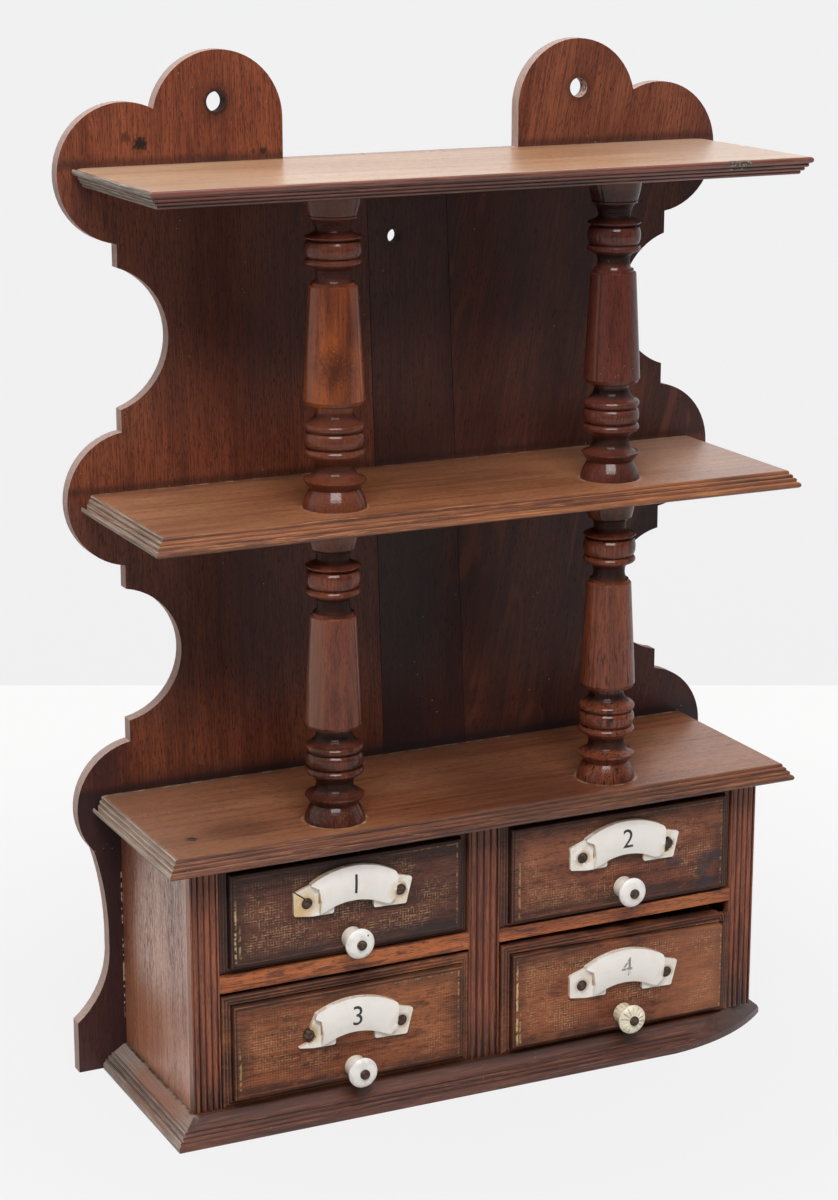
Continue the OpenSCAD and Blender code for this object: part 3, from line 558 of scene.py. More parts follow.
# How strong the painted light on the left end and the painted sheen on the right end of each top are.
PAINTED_END_LIGHT = {
    "top_shelf": (0.35, 0.3),
    "middle_shelf": (0.05, 0.2),
    "case_top": (0.1, 0.0),
    "base_board": (0.0, 0.0),
}
for number, (name, tones) in enumerate(FLAT.items()):
    board = stained_wood(name + "_wood", "x", 21 + number, tones, mottle=0.6, fine=0.55)
    low, high = corners(name)
    edge = EDGES[name]
    rim = board.mix(edge[0], edge[1], board.bands.ramp(0.35, 0.6))
    rim = board.mix(rim, edge[2], board.fibres.ramp(0.52, 0.66) * 0.8)
    rim = board.mix(rim, GRIME_AND_SHADE, board.clouds.ramp(0.5, 0.36) * 0.5)
    up = board.nz.ramp(0.93, 0.98)
    board.body = board.mix(rim, board.body, up)
    left_end = board.nx.ramp(-0.25, -0.5)
    streak = board.noise(stretched(board, grain_frame(board, "y", 5), 1500, 40), detail=3, rough=0.7)
    grey = board.mix(*END_DUST[name], streak.ramp(0.35, 0.65))
    dusty = left_end * (board.clouds.ramp(0.3, 0.5) * 0.25 + 0.7)
    if name == "base_board":
        dusty = dusty * board.nz.ramp(0.86, 0.7)
    stain(board, grey, dusty)
    if name != "base_board":
        corner_line = board.y.ramp(WALL_Y - 2.4, WALL_Y - 0.8) * up
        # Grime and painted shade in the corner where the top meets the back boards.
        stain(board, (92, 66, 48), board.y.ramp(WALL_Y - 7, WALL_Y - 1) * up * 0.5)
        stain(board, (196, 172, 142), corner_line * broken(board, 160, 0.45, 0.65, 4.0 + number) * 0.6)
    for foot_x, foot_y in FEET.get(name, []):
        dx, dy = board.x - foot_x, board.y - foot_y
        around = (dx * dx + dy * dy) ** 0.5
        ring = around.near(14.9, 1.3) * up
        stain(board, (176, 150, 124), ring * broken(board, 220, 0.4, 0.6, 7.0) * 0.8)
    stain(board, (222, 204, 176), flecks(board, 260, 0.09, 9.0 + number, 0.5) * 0.8)
    nose = line(board, board.y, low[1] + 1.2, 1.6) * board.fibres.ramp(0.5, 0.62)
    stain(board, edge[2], nose * 0.5)
    painted_light_left, painted_sheen_right = PAINTED_END_LIGHT[name]
    # Painted light on the left end of the top, and a painted sheen of the bright room on its right end.
    stain(board, (226, 196, 168), board.x.ramp(-50, -150) * up * painted_light_left)
    stain(board, (216, 198, 186), board.x.ramp(60, 145) * up * painted_sheen_right)
    if name == "middle_shelf":
        # Painted shade in the middle of the shelf, towards the back, under the top shelf.
        stain(board, (84, 48, 30), board.x.near(10, 80) * up * board.y.ramp(-40, 10) * 0.5)
    if name == "top_shelf":
        chip = spot(board, (121, low[1], 434), 4.2) + spot(board, (127, low[1], 434), 4.4)
        stain(board, (62, 44, 36), chip.ramp(0, 0.7) * 0.92)
        stain(board, (150, 132, 116), chip.ramp(0.2, 0.5) * broken(board, 700, 0.54, 0.6, 2.0) * 0.8)
    if name == "case_top":
        stain(board, GRIME_AND_SHADE, spot(board, (-142.7, -25, CASE_TOP), 3.8) * 0.7)
        stain(board, (66, 38, 30), (board.x.near(-118, 34) * board.y.near(-22, 26)).ramp(0.2, 0.9) * up * 0.35)
        # Painted shade in the middle of the case top, between the columns.
        stain(board, (64, 34, 26), board.x.near(20, 95) * up * 0.55)
    if name == "base_board":
        beside = board.x.near(-151.5, 3.4) * board.z.ramp(FOOT_TOP - 2.5, FOOT_TOP - 0.5)
        stain(board, (206, 192, 172), beside * broken(board, 260, 0.35, 0.6, 5.0) * 0.8)
        # Grime and painted shade on the base's upper faces under the front of the case.
        under = board.y.ramp(-49, -42) * board.nz.ramp(0.2, 0.5)
        stain(board, GRIME_AND_SHADE, under * (board.clouds.ramp(0.65, 0.4) * 0.4 + 0.35))
        slope = board.nz.ramp(0.7, 0.82) * board.nx.ramp(-0.15, -0.35)
        rearward = board.y + (board.clouds - 0.5) * 60
        stain(board, (160, 142, 132), slope * (streak.ramp(0.4, 0.6) * 0.35 + 0.55))
        stain(board, (142, 84, 54), slope * rearward.ramp(34, 12) * rearward.ramp(-40, -18) * 0.5)
        corner = board.x.ramp(96, 140) * board.y.ramp(-20, -36)
        stain(board, (66, 43, 36), corner * (board.fibres.ramp(0.3, 0.6) * 0.4 + 0.25))
    sheen = {"top_shelf": 0.75, "middle_shelf": 0.55, "case_top": 0.5, "base_board": 0.3}[name]
    dress(name, varnish(board, rough=0.42, coat=sheen, coat_rough=0.28, dull=left_end))
print("flat boards:", len(FLAT))


# %% [markdown]
# The case is the same wood, a little more even. Its left side carries a long pale sheen and fine wavy pores, and each
# case board gets a painted highlight along its front edge. The reeded strips are darker at the foot, where mops have
# been; their grooves get painted light that lifts the shade in them, and their flanks and the crests of the reeds get
# painted highlights.

# %% Case, strips and rails
CASE = ((150, 88, 62), (202, 138, 104), (226, 170, 136))
STRIP = ((78, 38, 26), (126, 68, 48), (152, 92, 68))
RAIL = ((108, 50, 26), (178, 95, 50), (208, 126, 70))
for number, name in enumerate(("case_side_left", "case_side_right", "case_divider")):
    side = stained_wood(name + "_wood", "z", 31 + number, CASE, mottle=0.5)
    wavy = side.noise(stretched(side, side.base, 1000, 120), detail=2, rough=0.5, twist=1.6)
    patch = side.noise(stretched(side, side.base, 60, 14), detail=2).ramp(0.4, 0.6)
    pores = wavy.ramp(0.49, 0.41) * (patch * 0.65 + 0.35)
    stain(side, (78, 42, 31), pores * 0.75)
    low, high = corners(name)
    stain(side, (124, 62, 38), side.y.ramp(WALL_Y - 22, WALL_Y - 2) * 0.7)
    # Painted highlight along the rounded front edge.
    stain(side, (214, 148, 102), line(side, side.y, low[1] + 0.6, 2.4) * 0.65)
    stain(side, (214, 138, 96), side.z.ramp(70, 24) * 0.35)
    # Darker towards the bottom, where the side meets the base.
    stain(side, GRIME_AND_SHADE, side.z.ramp(16, 11) * 0.3)
    stain(side, (214, 196, 168), flecks(side, 260, 0.09, 1.0 + number, 0.5) * 0.7)
    side.height = side.height - pores
    dress(name, varnish(side, rough=0.42, coat=0.8, coat_rough=0.27, dull=pores * 0.7))
for number, name in enumerate(("reeded_strip_left", "reeded_strip_middle", "reeded_strip_right")):
    strip = stained_wood(name + "_wood", "z", 41 + number, STRIP, mottle=0.7)
    low, high = corners(name)
    groove = strip.y.ramp(low[1] + 0.7, low[1] + 2.2)
    flank = (strip.nx * strip.nx).ramp(0.7, 0.9) * (strip.x.ramp(low[0] + 0.4, low[0]) + strip.x.ramp(high[0] - 0.4, high[0]))
    # Painted light in the groove bottoms, lifting the shade that the deep grooves get.
    stain(strip, (168, 106, 80), groove * (1 - flank) * 0.5)
    # Painted highlights on the strip's flanks.
    stain(strip, (176, 112, 74), flank * 0.6)
    stain(strip, GRIME_AND_SHADE, strip.z.ramp(40, 12) * (strip.clouds.ramp(0.6, 0.4) * 0.35 + 0.4))
    # Painted highlights on the front crests of the reeds.
    stain(strip, (164, 94, 56), strip.y.ramp(low[1] + 0.8, low[1]) * strip.fibres.ramp(0.48, 0.62) * 0.5)
    dress(name, varnish(strip, rough=0.42, coat=0.25))
for number, name in enumerate(("drawer_shelf_left", "drawer_shelf_right")):
    rail = stained_wood(name + "_wood", "x", 51 + number, RAIL)
    streaks = rail.noise(stretched(rail, rail.base, 500, 45), detail=3, rough=0.7)
    stain(rail, (54, 28, 21), streaks.ramp(0.5, 0.4) * 0.7)
    dress(name, varnish(rail, rough=0.42, coat=0.2))
print("case pieces: 8")


# %% [markdown]
# The columns were turned on a lathe, stained and polished. Dirt has stayed in every hollow, and the widest rings are
# lighter, with rubbing wear and painted highlights together, and the top collar carries a painted sheen. A hollow is
# found by the distance from the column's axis: the smaller it is against the widest ring, the darker the stain.

# %% Columns
TURNED = {
    "column_upper_left": ((76, 36, 21), (122, 62, 36), (154, 88, 50)),
    "column_upper_right": ((52, 25, 21), (84, 39, 31), (106, 56, 43)),
    "column_lower_left": ((64, 29, 20), (108, 52, 34), (138, 80, 54)),
    "column_lower_right": ((70, 32, 21), (112, 56, 37), (138, 76, 50)),
}
AXES = {
    "column_upper_left": (-67.9, -19.6),
    "column_upper_right": (75.2, -19.6),
    "column_lower_left": (-72.4, -26.9),
    "column_lower_right": (71.5, -26.9),
}
for number, (name, tones) in enumerate(TURNED.items()):
    turned = stained_wood(name + "_wood", "z", 61 + number, tones, pore=0.4, fine=0.8)
    low, high = corners(name)
    dx, dy = turned.x - AXES[name][0], turned.y - AXES[name][1]
    radius = (dx * dx + dy * dy) ** 0.5
    foot, head = low[2] + 46, high[2] - 42
    shaft = turned.z.ramp(foot, foot + 3) * turned.z.ramp(head, head - 3)
    crust = turned.noise(turned.place, scale=1500, detail=2)
    hollow = radius.ramp(11.4, 8.8) * (1 - shaft)
    stain(turned, (52, 28, 21), hollow * 0.45)
    stain(turned, GRIME_AND_SHADE, radius.ramp(10.2, 8.4) * (1 - shaft) * 0.55)
    shoulder = turned.z.near(foot - 1, 4) + turned.z.near(head + 2, 5)
    stain(turned, GRIME_AND_SHADE, shoulder * 0.5)
    stain(turned, (46, 24, 18), (1 - shaft) * turned.clouds.ramp(0.55, 0.4) * 0.5)
    # Rubbed wear and painted highlights on the widest rings.
    worn_and_highlit = (1 - shaft) * turned.fibres.ramp(0.5, 0.66) * radius.ramp(9, 12)
    stain(turned, TURNED[name][2], worn_and_highlit * 0.3)
    # Painted sheen on the top collar, just under the shelf.
    stain(turned, (134, 92, 74), turned.z.ramp(high[2] - 11, high[2] - 7) * 0.3)
    if name == "column_upper_left":
        stain(turned, (84, 42, 34), (1 - shaft) * (crust.ramp(0.35, 0.6) * 0.3 + 0.4))
        stain(turned, (172, 88, 40), shaft * turned.clouds.ramp(0.46, 0.6) * 0.5)
        stain(turned, (58, 28, 20), spot(turned, (-71, -30, foot + 23), 13, 0.9) * 0.75)
    if name == "column_lower_left":
        # The shaft's left side is paler: wear and a painted sheen.
        stain(turned, (150, 110, 86), shaft * turned.nx.ramp(-0.5, -0.95) * 0.3)
    if name == "column_lower_right":
        streaks = turned.noise(stretched(turned, turned.base, 800, 90), detail=1).ramp(0.42, 0.34)
        stain(turned, GRIME_AND_SHADE, streaks * turned.z.ramp(foot + 60, foot + 10) * 0.8)
    stain(turned, (200, 168, 130), flecks(turned, 420, 0.1, 1.0 + number, 0.4) * 0.6)
    dirt_and_shade = (hollow + shoulder).ramp(0.0, 1.0) * 0.7
    turned.height = turned.height + crust * ((1 - shaft) * 3.6 + 0.5)
    dress(name, varnish(turned, rough=0.45, coat=0.46, coat_rough=0.13, dull=dirt_and_shade, specular=0.08))
print("columns:", len(TURNED))


# %% [markdown]
# Each drawer front has a raised field inside a moulded border. The fields show light flecks in rows and columns, like
# a coarse cloth pressed into old varnish: short dashes of noise are kept only on a fine grid, and only inside drifting
# clouds. The border and the field's rim are darker. The borders get painted shade, much more on the upper drawers;
# their two grooves and the troughs between their fine ridges get painted shade too, and the ridges get painted
# highlights.

# %% Drawer fronts
DRAWERS = ("upper_left", "upper_right", "lower_left", "lower_right")
FIELDS = {
    "upper_left": ((55, 32, 27), (94, 56, 45), (126, 78, 58)),
    "upper_right": ((72, 38, 28), (122, 69, 49), (154, 96, 68)),
    "lower_left": ((88, 45, 27), (148, 86, 54), (178, 112, 72)),
    "lower_right": ((78, 41, 28), (130, 73, 48), (164, 98, 64)),
}
FIELD_Y = {"upper_left": -41.6, "upper_right": -42.4, "lower_left": -43.6, "lower_right": -44.8}
BORDER = 6.3
LOW_BORDER = {"upper_left": 0.75, "upper_right": 0.6, "lower_left": 0.9, "lower_right": 0.65}
CREAM_LINES = {
    "upper_left": [(0.6, 0.75, 12), (2.8, 0.5, 24)],
    "upper_right": [(2.6, 0.4, 14)],
    "lower_left": [(1.2, 0.4, 20)],
    "lower_right": [(0.6, 1.0, 4), (2.2, 0.5, 26)],
}
WEAVE = {"upper_left": 0.8, "upper_right": 0.65, "lower_left": 0.6, "lower_right": 0.95}


def cloth_marks(finish, cover):
    """Dashes along X on a grid of rows and dashes along Z on a grid of columns, inside clouds."""
    rows = (finish.z * (2 * math.pi / 1.3)).math("SINE").ramp(-0.4, 0.7)
    columns = (finish.x * (2 * math.pi / 1.4)).math("SINE").ramp(-0.2, 0.8)
    lying = finish.noise(finish.moved((520, 420, 1700)), detail=3, rough=0.7).ramp(0.47, 0.62)
    upright = finish.noise(finish.moved((1700, 420, 520), (9, 0, 0)), detail=3, rough=0.7).ramp(0.5, 0.64)
    drift = finish.noise(finish.moved((42, 42, 66), (3, 1, 0)), detail=4, rough=0.65)
    return (rows * lying).math("MAXIMUM", columns * upright) * drift.ramp(0.53 - cover * 0.12, 0.6)


for number, drawer in enumerate(DRAWERS):
    front = stained_wood(drawer + "_front_wood", "x", 71 + number, FIELDS[drawer], mottle=0.8, pore=0.42, fine=0.8)
    low, high = corners(drawer + "_front")
    low_border = BORDER * LOW_BORDER[drawer]
    from_left = front.x - (low[0] + BORDER)
    from_right = (front.x * -1.0) + (high[0] - BORDER)
    from_below = front.z - (low[2] + low_border)
    from_above = (front.z * -1.0) + (high[2] - BORDER)
    inside = from_left.math("MINIMUM", from_right).math("MINIMUM", from_below.math("MINIMUM", from_above))
    field = inside.ramp(-0.2, 0.6)
    marks = cloth_marks(front, WEAVE[drawer]) * inside.ramp(1, 7)
    blotch = front.noise(stretched(front, front.base, 260, 90), detail=4, rough=0.75)
    stain(front, (44, 27, 23), blotch.ramp(0.48, 0.36) * 0.5)
    stain(front, FIELDS[drawer][2], blotch.ramp(0.56, 0.68) * 0.5)
    threads = (front.z * (2 * math.pi / 1.3)).math("SINE") + (front.x * (2 * math.pi / 1.4)).math("SINE")
    patch = front.noise(front.moved((34, 34, 44), (7, 2, number)), detail=3).ramp(0.42, 0.6)
    stain(front, FIELDS[drawer][0], threads.ramp(0.0, -1.4) * patch * field * 0.6)
    stain(front, (192, 152, 112), marks * (WEAVE[drawer] * 0.8))
    uneven = front.noise(front.moved((60, 60, 60), (1, 2, 3)), detail=3).ramp(0.35, 0.62)
    stain(front, (36, 26, 25), inside.ramp(9, 0) * (uneven * 0.45 + 0.15))
    # Painted shade on the border, much stronger on the upper drawers under the case's overhang.
    stain(front, (48, 30, 27), (1 - field) * (0.12 if drawer.startswith("lower") else 0.5))
    # Painted shade in the two grooves of the border.
    stain(front, GRIME_AND_SHADE, inside.near(-0.9, 1.0) * 0.6)
    stain(front, GRIME_AND_SHADE, inside.near(-3.7, 0.8) * 0.45)
    # Fine ridges on the border: painted highlights on their crests, painted shade in the troughs, and a bump that
    # follows them.
    ridges = (inside * (2 * math.pi / 1.45)).math("SINE") * (1 - field)
    stain(front, FIELDS[drawer][2], ridges.ramp(0.35, 1.0) * (front.fibres.ramp(0.35, 0.6) * 0.3 + 0.15))
    stain(front, GRIME_AND_SHADE, ridges.ramp(-0.35, -1.0) * 0.45)
    front.height = front.height + ridges * 1.2
    stain(front, (150, 100, 72), inside.near(0.6, 0.7) * front.fibres.ramp(0.48, 0.62) * 0.5)
    if drawer == "upper_right":
        bruise = front.noise(front.moved((70, 70, 110), (5, 5, 5)), detail=2).ramp(0.5, 0.62)
        stain(front, (44, 42, 50), bruise * front.x.ramp(72, 110) * front.z.ramp(112, 92) * field * 0.75)
    if drawer == "lower_right":
        stain(front, (190, 124, 88), front.x.ramp(84, 118) * field * (front.clouds.ramp(0.4, 0.6) * 0.2 + 0.2))
    if drawer == "upper_left":
        stain(front, (34, 32, 38), from_below.ramp(8, 1) * front.clouds.ramp(0.6, 0.4) * field * 0.6)
    for offset, weight, start in CREAM_LINES[drawer]:
        wander = front.noise(front.moved((1, 1, 90)), detail=2) * 1.6 - 0.8
        stripe = (from_left + wander).near(offset, 0.9) * from_below.ramp(0.5, 2) * from_above.ramp(start - 3, start + 6)
        stain(front, (214, 184, 132), stripe * broken(front, 420, 0.43, 0.56, offset) * weight)
    rim = from_right.near(0.6, 0.8).math("MAXIMUM", from_above.near(0.5, 0.8) * front.x.ramp(low[0] + 60, high[0]))
    stain(front, (204, 172, 118), rim * field * broken(front, 520, 0.52, 0.62, 6.0 + number) * 0.45)
    back_side = front.ny.ramp(0.5, 0.8)
    stain(front, (150, 112, 80), back_side * 0.8)
    dress(drawer + "_front", varnish(front, rough=0.5, coat=0.1, specular=0.25))
print("drawer fronts:", len(DRAWERS))


# %% [markdown]
# Inside, the drawers are plain pale wood that has never been stained, a little dirty with handling.

# %% Bare wood
BARE = ((146, 104, 74), (178, 138, 102), (198, 162, 128))
for number, drawer in enumerate(DRAWERS):
    for part, along in (("side_left", "y"), ("side_right", "y"), ("back", "x"), ("bottom", "x")):
        board = stained_wood(drawer + "_" + part + "_wood", along, 81 + 5 * number, BARE, pore=0.3)
        stain(board, (120, 88, 60), board.clouds.ramp(0.5, 0.35) * 0.4)
        dress(drawer + "_" + part, varnish(board, rough=0.7, coat=0.0))
for number, name in enumerate(("drawer_guides_left", "drawer_guides_right")):
    dress(name, varnish(stained_wood(name + "_wood", "y", 120 + number, BARE, pore=0.3), rough=0.7, coat=0.0))
print("bare pieces: 18")


# %% [markdown]
# The name plates are glazed porcelain ribbons. The glaze is white in the middle and yellow-brown
# round the nail holes and in the folds, where rust and dirt have crept under it. The knobs are the
# same ware; the lower right one is cream, with dirt in its rays.

# %% Porcelain
LABELS = {
    "upper_left": (-70.2, 106.2, 0.75, 1.0),
    "upper_right": (73.8, 106.2, 0.4, 0.0),
    "lower_left": (-70.7, 41.6, 0.35, 1.4),
    "lower_right": (73.1, 40.8, 0.15, 1.4),
}
KNOBS = {
    "upper_left": (-71.0, 85.8),
    "upper_right": (73.3, 87.5),
    "lower_left": (-70.7, 22.0),
    "lower_right": (73.2, 22.4),
}


def on_label(drawer, x, z):
    """A place drawn on the plate, x to the right and z up from its middle, on the cabinet."""
    middle_x, middle_z, _, turn = LABELS[drawer]
    angle = math.radians(turn)
    return (
        middle_x + x * math.cos(angle) + z * math.sin(angle),
        middle_z - x * math.sin(angle) + z * math.cos(angle),
    )


for number, drawer in enumerate(DRAWERS):
    yellow = LABELS[drawer][2]
    glaze = Finish(drawer + "_label_glaze")
    glaze.x, glaze.y, glaze.z = [axis * 1000 for axis in glaze.axes()]
    glaze.ny = glaze.facing()[1]
    cloud = glaze.noise(glaze.moved((180, 180, 180), (number, 0, 0)), detail=3, rough=0.6)
    glaze.body = glaze.mix((240, 235, 229), (232, 222, 210), cloud.ramp(0.5, 0.7) * 0.6)
    for side in (-1, 1):
        pin = on_label(drawer, side * 23.75, 0)
        around = round_place(glaze, pin)
        stain(glaze, (206, 176, 122), around.ramp(8.5, 3.0) * cloud.ramp(0.36, 0.56) * (yellow * 0.7 + 0.15))
        stain(glaze, (122, 90, 58), around.ramp(4.6, 2.8) * cloud.ramp(0.34, 0.5) * (yellow * 0.4 + 0.4))
    if drawer == "upper_left":
        corner = round_place(glaze, on_label(drawer, -29, -2))
        stain(glaze, (206, 164, 92), corner.ramp(11.5, 4) * 0.85)
    if drawer == "lower_left":
        rim = round_place(glaze, on_label(drawer, -24, 1))
        stain(glaze, (168, 128, 78), rim.ramp(6.5, 3.0) * cloud.ramp(0.35, 0.5) * 0.8)
    edge = glaze.ny.ramp(-0.75, -0.3)
    stain(glaze, (186, 156, 116), edge * cloud.ramp(0.36, 0.56) * (yellow * 0.5 + 0.4))
    tab = glaze.y.ramp(FIELD_Y[drawer] - 2.4, FIELD_Y[drawer] - 1.4)
    stain(glaze, (226, 208, 178), tab * cloud.ramp(0.4, 0.6) * (yellow * 0.6 + 0.1))
    glaze.set(
        Base_Color=glaze.body,
        Roughness=cloud.ramp(0.4, 0.7) * 0.12 + 0.18,
        Coat_Weight=0.5,
        Coat_Roughness=0.08,
        Normal=glaze.bump(cloud, 0.0004, 0.35),
    )
    dress(drawer + "_label", glaze.material)

    knob_tone = (238, 228, 204) if drawer == "lower_right" else (240, 236, 230)
    glaze = Finish(drawer + "_knob_glaze")
    glaze.x, glaze.y, glaze.z = [axis * 1000 for axis in glaze.axes()]
    cloud = glaze.noise(glaze.moved((240, 240, 240), (0, number, 0)), detail=3, rough=0.6)
    glaze.body = glaze.mix(knob_tone, [0.93 * part for part in knob_tone], cloud.ramp(0.45, 0.65))
    around = round_place(glaze, KNOBS[drawer])
    neck = glaze.y.ramp(FIELD_Y[drawer] - 8, FIELD_Y[drawer] - 1)
    stain(glaze, (196, 178, 146), neck * 0.45)
    if drawer == "lower_right":
        ray = glaze.y.ramp(FIELD_Y[drawer] - 11.9, FIELD_Y[drawer] - 11.2) * glaze.y.ramp(-10, -20)
        angle = (glaze.z - KNOBS[drawer][1]).math("ARCTAN2", glaze.x - KNOBS[drawer][0])
        rays = (angle * 14.0).math("COSINE").ramp(-0.55, -0.95) * cloud.ramp(0.35, 0.6)
        stain(glaze, (150, 132, 92), rays * around.ramp(2.6, 3.4) * around.ramp(7.2, 6.4) * 0.8)
    if drawer == "upper_left":
        specks = flecks(glaze, 360, 0.16, 8.0, 0.9)
        stain(glaze, (52, 42, 40), specks * around.ramp(7.0, 6.0) * 0.9)
        stain(glaze, (60, 48, 42), round_place(glaze, (-67.6, 89.9)).ramp(0.6, 0.3))
    glaze.set(Base_Color=glaze.body, Roughness=0.2, Coat_Weight=0.5, Coat_Roughness=0.08)
    dress(drawer + "_knob", glaze.material)
print("porcelain pieces: 8")


# %% [markdown]
# Pins and screws are old iron, brown-black and rough with rust, so light breaks on them unevenly.

# %% Iron
def old_iron(name, seed):
    iron = Finish(name)
    rust = iron.noise(iron.moved((600, 600, 600), (seed, 0, 0)), detail=3, rough=0.7)
    tone = iron.mix((58, 46, 41), (112, 84, 66), rust.ramp(0.45, 0.65))
    return iron.set(
        Base_Color=tone,
        Roughness=rust * 0.4 + 0.4,
        Metallic=0.5,
        Normal=iron.bump(rust, 0.0009, 0.9),
    )


for number, drawer in enumerate(DRAWERS):
    for part in ("label_pins", "knob_screw"):
        dress(drawer + "_" + part, old_iron(drawer + "_" + part + "_iron", number))
print("finished nodes:", len(nodes))


# %% [markdown]
# The plates carry a plain numeral each. Blender's own letters are made a mesh, cut into short
# edges, and laid onto the crowned plate: the crown is a slice of a ring, so its height depends only
# on the distance from the centre of the arch. The numeral stands 0.06 mm proud, like enamel.

# %% Numerals
import bmesh

PLATE_T, PLATE_EDGE, RING_OUT, RING_IN, RING_Z = 4.0, 2.9, 42.0, 24.4, -26.4
RING_MID, RING_HALF = (RING_OUT + RING_IN) / 2, (RING_OUT - RING_IN) / 2
RISE = PLATE_T - PLATE_EDGE
CROWN = (RING_HALF**2 + RISE**2) / (2 * RISE)


def plate_height(x, z):
    """Thickness of the plate: a circle of radius CROWN over the distance from the arch's centre."""
    distance = np.hypot(x, z - RING_Z)
    return PLATE_T - CROWN + np.sqrt(CROWN**2 - (distance - RING_MID) ** 2)


def ink(name, tone, fade):
    paint = Finish(name)
    worn_and_highlit = paint.noise(paint.moved((420, 420, 420)), detail=3)
    colour_now = paint.mix(tone, (226, 220, 212), worn_and_highlit.ramp(0.62 - fade, 0.75 - fade))
    return paint.set(Base_Color=colour_now, Roughness=0.35)


def numeral(drawer, words, tone, fade, size=13.5):
    """Letters as a thin closed slab whose back and front both follow the crowned plate."""
    letters = bpy.data.curves.new(drawer + "_numeral", "FONT")
    letters.body = words
    letters.size = size
    letters.extrude = 0.1
    letters.align_x = "CENTER"
    letters.align_y = "CENTER"
    holder = bpy.data.objects.new("letters", letters)
    scene.collection.objects.link(holder)
    bpy.context.view_layer.update()
    mesh = bpy.data.meshes.new_from_object(holder)
    bpy.data.objects.remove(holder)
    work = bmesh.new()
    work.from_mesh(mesh)
    bmesh.ops.remove_doubles(work, verts=work.verts, dist=0.0001)
    for _ in range(3):
        long_edges = [e for e in work.edges if e.calc_length() > 1.2]
        bmesh.ops.subdivide_edges(work, edges=long_edges, cuts=1)
        bmesh.ops.triangulate(work, faces=work.faces)
    bmesh.ops.recalc_face_normals(work, faces=work.faces)
    work.to_mesh(mesh)
    work.free()
    count = len(mesh.vertices)
    points = np.empty(count * 3)
    mesh.vertices.foreach_get("co", points)
    points = points.reshape(-1, 3)
    x, z = points[:, 0] * 0.95, points[:, 1] + 6.4
    top = points[:, 2] > 0
    away = plate_height(x, z) + np.where(top, 0.06, -0.3)
    middle_x, middle_z, _, turn = LABELS[drawer]
    angle = math.radians(turn)
    placed = np.empty_like(points)
    placed[:, 0] = middle_x + x * math.cos(angle) + z * math.sin(angle)
    placed[:, 1] = FIELD_Y[drawer] - away
    placed[:, 2] = middle_z - x * math.sin(angle) + z * math.cos(angle)
    mesh.vertices.foreach_set("co", (placed * MM).ravel())
    mesh.update()
    mesh.materials.clear()
    mesh.materials.append(ink(drawer + "_ink", tone, fade))
    piece = bpy.data.objects.new(drawer + "_numeral", mesh)
    scene.collection.objects.link(piece)
    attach(piece, "drawer_" + drawer)
    return piece


numerals = [
    numeral("upper_left", "1", (30, 29, 31), 0.0),
    numeral("upper_right", "2", (34, 33, 35), 0.0),
    numeral("lower_left", "3", (40, 39, 42), 0.0),
    numeral("lower_right", "4", (140, 138, 137), 0.08),
]
print("numerals:", [len(piece.data.polygons) for piece in numerals])


# %% [markdown]
# A few nails show: one in the case top, and a row along each shelf line at the back. A nail head
# is a low dome, worked out as a profile turned round its axis: for each of n steps, height is
# rise times the cosine and radius is the sine of a quarter turn, and a short rim closes it.

# %% Nail heads
def dome(radius, rise, rim=0.3, rings=6, around=24):
    """Closed low dome: a spherical cap on a short cylinder, its axis +Z, as points and faces."""
    quarter = np.linspace(0, math.pi / 2, rings + 1)[1:]
    heights = np.concatenate([rise * np.cos(quarter), [-rim]])
    radii = np.concatenate([radius * np.sin(quarter), [radius]])
    turn = np.arange(around) * (2 * math.pi / around)
    ring = np.stack([np.outer(radii, np.cos(turn)), np.outer(radii, np.sin(turn))], axis=-1)
    rows = np.concatenate([ring, np.broadcast_to(heights[:, None, None], ring.shape[:2] + (1,))], axis=-1)
    points = np.concatenate([[[0, 0, rise]], rows.reshape(-1, 3), [[0, 0, -rim]]])
    i, j = np.meshgrid(np.arange(len(radii) - 1), np.arange(around), indexing="ij")
    a, b = 1 + i * around + j, 1 + i * around + (j + 1) % around
    sides = np.stack([a, a + around, b + around, b], axis=-1).reshape(-1, 4).tolist()
    k = np.arange(around)
    cap = np.stack([0 * k, 1 + k, 1 + (k + 1) % around], axis=-1).tolist()
    last = 1 + (len(radii) - 1) * around
    floor = np.stack([0 * k + len(points) - 1, last + (k + 1) % around, last + k], axis=-1).tolist()
    return points, cap + sides + floor


def nails(name, places, direction, radius=1.7, rise=0.5):
    """One mesh with a dome at every place, facing along +Z or +Y."""
    shape, faces = dome(radius, rise)
    if direction == "y":
        shape = shape[:, [0, 2, 1]] * [-1, 1, 1]
    places = np.array(places, dtype=float)
    all_points = (places[:, None, :] + shape[None, :, :]).reshape(-1, 3)
    all_faces = [[v + n * len(shape) for v in face] for n in range(len(places)) for face in faces]
    mesh = bpy.data.meshes.new(name)
    mesh.from_pydata((all_points * MM).tolist(), [], all_faces)
    mesh.polygons.foreach_set("use_smooth", [True] * len(mesh.polygons))
    mesh.materials.append(old_iron(name + "_iron", 9))
    piece = bpy.data.objects.new(name, mesh)
    scene.collection.objects.link(piece)
    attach(piece, "carcass")
    return piece


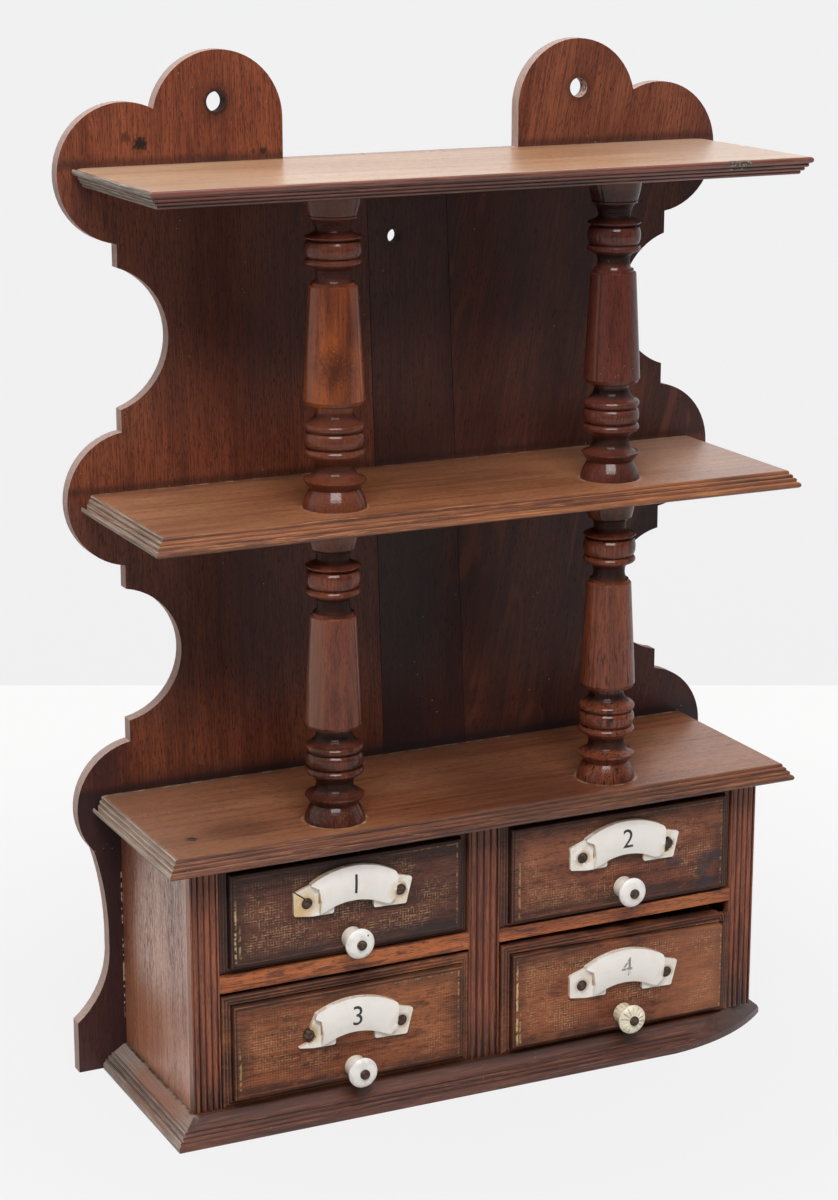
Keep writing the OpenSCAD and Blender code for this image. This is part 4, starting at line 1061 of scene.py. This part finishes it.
BACK_Y = corners("back_board_left")[1][1]
nails("case_top_nail", [(-142.7, -25, CASE_TOP)], "z", radius=2.0, rise=0.3)
rows = [(x, BACK_Y, z - 4) for z in (TOP_TOP, MIDDLE_TOP, CASE_TOP) for x in (-118, -48, 62, 120)]
rows += [(x, BACK_Y, 5.5) for x in (-126, -40, 58, 126)]
nails("rear_nails", rows, "y", radius=1.9, rise=0.35)
print("nails:", 1 + len(rows))


# %% [markdown]
# The back boards have shrunk, and the gaps between them have filled with a century of dirt, so no
# light comes through. Each filling is a rectangle carried up the slanting seam: its middle is
# x(z) = foot + (rim - foot) * z / height, and its front face wanders a little, as packed dirt does.

# %% Dirt in the seams
SEAMS = {"seam_dirt_left": (-6.8, -19.4), "seam_dirt_right": (40.1, 22.0)}


def seam_dirt(name, foot, rim, half_width=0.3, steps=48):
    """Closed slab: four corners of a rectangle at every height, joined ring by ring and capped."""
    z = np.linspace(0.4, TOP_TOP - 0.6, steps + 1)
    middle_x = foot + (rim - foot) * z / TOP_TOP
    front_y = WALL_Y + 0.45 + 0.2 * np.sin(z * 0.9) * np.sin(z * 0.23)
    back_y = np.full_like(z, BACK_Y - 0.5)
    x = np.stack([middle_x - half_width, middle_x + half_width, middle_x + half_width, middle_x - half_width])
    y = np.stack([front_y, front_y, back_y, back_y])
    points = np.stack([x, y, np.broadcast_to(z, x.shape)], axis=-1).transpose(1, 0, 2).reshape(-1, 3)
    ring, corner = np.meshgrid(np.arange(steps), np.arange(4), indexing="ij")
    a, b = ring * 4 + corner, ring * 4 + (corner + 1) % 4
    faces = np.stack([a, b, b + 4, a + 4], axis=-1).reshape(-1, 4).tolist()
    faces += [[3, 2, 1, 0], [steps * 4 + k for k in range(4)]]
    mesh = bpy.data.meshes.new(name)
    mesh.from_pydata((points * MM).tolist(), [], faces)
    dirt = Finish(name + "_finish")
    crumbs = dirt.noise(dirt.place, scale=900, detail=2)
    dirt.set(Base_Color=dirt.mix((24, 17, 16), (52, 38, 32), crumbs.ramp(0.45, 0.65)), Roughness=0.9)
    mesh.materials.append(dirt.material)
    piece = bpy.data.objects.new(name, mesh)
    scene.collection.objects.link(piece)
    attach(piece, "carcass")
    return piece


for name, (foot, rim) in SEAMS.items():
    seam_dirt(name, foot, rim)
print("seams filled:", len(SEAMS))
